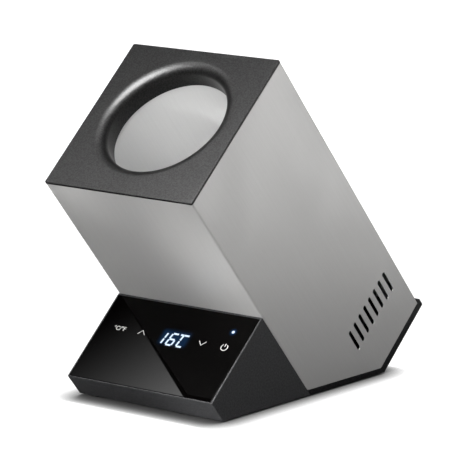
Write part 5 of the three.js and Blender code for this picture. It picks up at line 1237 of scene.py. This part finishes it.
def figure_bars(figure, x):
    """The lit bars of one figure, each with its ends held back from the corners."""
    w, h, g = FIGURE_WIDTH / 2, FIGURE_HEIGHT, BAR_GAP
    ends = {
        "a": ((-w + g, h), (w - g, h)),
        "b": ((w, h - g), (w, g)),
        "c": ((w, -g), (w, -h + g)),
        "d": ((-w + g, -h), (w - g, -h)),
        "e": ((-w, -g), (-w, -h + g)),
        "f": ((-w, h - g), (-w, g)),
        "g": ((-w + g, 0), (w - g, 0)),
    }
    bars = []
    for name in LIT_BARS[figure]:
        points = [(x + px + SLANT * py, FIGURE_LINE + py) for px, py in ends[name]]
        bars.append(add_stroke(points, BAR))
    return bars


lit = figure_bars("1", FIGURES_X - FIGURE_WIDTH / 2)
lit += figure_bars("6", FIGURES_X + FIGURE_PITCH - FIGURE_WIDTH / 4)
lit += figure_bars("C", FIGURES_X + 2 * FIGURE_PITCH)
degree_x = FIGURES_X + 2 * FIGURE_PITCH - FIGURE_WIDTH / 2 + SLANT * FIGURE_HEIGHT
degree_line = FIGURE_LINE + FIGURE_HEIGHT
lit.append(add_stroke([(degree_x - FIGURE_WIDTH / 2, degree_line), (degree_x, degree_line)], BAR))
assemble(joined(lit), "display_figures", display_light, "display_face")
lamp_dot = add_rod(LED_X, LED_LINE, LAMP_RADIUS, (0, 2 * PRINT_RISE), 32)
round_edges(lamp_dot, lambda m: near(m.z, 2 * PRINT_RISE), PRINT_RISE, 2)
assemble(lamp_dot, "power_lamp", display_light, "led_resin")


# Electronics
# The film that feels a finger, the display board and its lamps stand behind the glass, and the power board
# lies on the bottom plate. Leads run back through the window of the sleeve.
ELECTRONIC_STUFFS = {
    "circuit_board": (
        (0.012, 0.085, 0.035), (0.020, 0.12, 0.05), 0.35, 700, FINEST, ("display_board", "power_board"),
    ),
    "touch_film": ((0.55, 0.36, 0.10), (0.62, 0.42, 0.14), 0.3, 500, FINEST, ("touch_film",)),
    "display_face": ((0.02, 0.02, 0.022), (0.035, 0.035, 0.038), 0.25, 900, FINEST, ("led_display",)),
    "led_resin": ((0.60, 0.68, 0.75), (0.72, 0.78, 0.84), 0.12, 900, FINEST, ("status_led",)),
    "capacitor_sleeve": ((0.02, 0.03, 0.09), (0.035, 0.05, 0.13), 0.28, 900, FINEST, ("capacitor",)),
    "socket_plastic": ((0.72, 0.70, 0.62), (0.80, 0.78, 0.70), 0.45, 1200, 2 * FINEST, ("wire_sockets",)),
    "red_wire": ((0.42, 0.02, 0.015), (0.52, 0.03, 0.02), 0.4, 1500, FINEST, ("peltier_lead_red",)),
    "black_wire": (
        (0.012, 0.012, 0.013), (0.024, 0.024, 0.025), 0.4, 1500, FINEST,
        ("peltier_lead_black", "fan_lead", "jack_lead"),
    ),
    "grey_wire": (
        (0.20, 0.20, 0.21), (0.27, 0.27, 0.28), 0.45, 1500, FINEST, ("sensor_lead", "ribbon_cable"),
    ),
}

dress_all(moulded, ELECTRONIC_STUFFS)


# Bottom plate, feet and screws
# The plate closes the wedge from below with four screws. Four round rubber feet are pushed into their
# sockets, and four longer screws hold the base cover.
FOOT_ROUND = 0.0007
HEAD_RADIUS = 0.0028
HEAD_HEIGHT = 0.002
SHANK_RADIUS = 0.0015
THREAD_PITCH = 0.001
THREAD_DEPTH = 0.0003
RECESS_RADIUS = 0.0013
RECESS_WIDTH = 0.0006
RECESS_DEPTH = 0.0011
RECESS_HALVES = ((RECESS_RADIUS, RECESS_WIDTH / 2), (RECESS_WIDTH / 2, RECESS_RADIUS))
SCREW_LENGTH = 0.008
CROWN = (0.55, 1)
SHOULDER = (0.85, 0.8)
BRIM = (1, 0.4)


def copied(piece, x, y, z):
    """A copy of a piece with its own mesh, moved from it."""
    return place(new_object("copy", piece.data.copy()), x, y, z)


dress(base_plastic, "housing_bottom")
foot = add_turned(
    [
        (AXIS, 0),
        (FOOT_RADIUS - 3 * FOOT_ROUND, 0),
        (FOOT_RADIUS - 3 * FOOT_ROUND, FOOT_ROUND / 3),
        (FOOT_RADIUS - 2 * FOOT_ROUND, FOOT_ROUND / 3),
        (FOOT_RADIUS - 2 * FOOT_ROUND, 0),
        *arc(FOOT_ROUND, (FOOT_RADIUS - FOOT_ROUND, FOOT_ROUND), -90, 0, 5),
        (FOOT_RADIUS, FOOT_HEIGHT),
        (AXIS, FOOT_HEIGHT),
    ],
    sides=64,
)
for end, foot_y in (("front", FRONT_FOOT_Y), ("rear", REAR_FOOT_Y)):
    for side, foot_x in (("left", -FOOT_X), ("right", FOOT_X)):
        made = copied(foot, foot_x, foot_y, 0)
        foot_name = f"foot_{end}_{side}"
        assemble(made, f"rubber_{foot_name}", rubber, "rubber", foot_name, turned=None)
bpy.data.objects.remove(foot)

# A pan-head screw that points down from its seat at zero, with a cross recess and thread rings
screw_profile = [(AXIS, HEAD_HEIGHT)]
screw_profile += [(HEAD_RADIUS * across, HEAD_HEIGHT * up) for across, up in (CROWN, SHOULDER, BRIM)]
screw_profile += [(HEAD_RADIUS, 0), (SHANK_RADIUS, 0)]
thread_end = SHANK_RADIUS - THREAD_DEPTH
for turn in range(int((SCREW_LENGTH - 2 * THREAD_PITCH) / THREAD_PITCH)):
    ring_z = -THREAD_PITCH * (turn + 0.5)
    screw_profile += [(SHANK_RADIUS, ring_z), (thread_end, ring_z - THREAD_PITCH / 2)]
screw_profile += [(thread_end, -SCREW_LENGTH + THREAD_PITCH), (AXIS, -SCREW_LENGTH)]
cover_screw = add_turned(screw_profile, sides=32)
for half_x, half_y in RECESS_HALVES:
    recess_ends = (HEAD_HEIGHT - RECESS_DEPTH, HEAD_HEIGHT + PAST)
    cut(cover_screw, add_block(span(half_x), span(half_y), recess_ends))
open_mesh(cover_screw)
bpy.ops.transform.resize(value=(1, -1, -1), center_override=(0, 0, 0))
close_mesh()
screw_places = [(side * END_SCREW_X, screw_y) for side in (-1, 1) for screw_y in END_SCREW_Y]
for number, (screw_x, screw_y) in enumerate(screw_places, 1):
    made = copied(cover_screw, screw_x, screw_y, COVER_END + HEAD_HEIGHT)
    assemble(made, f"cover_screw_{number}", screw_steel, "screw_steel", f"end_screw_{number}")
bpy.data.objects.remove(cover_screw)
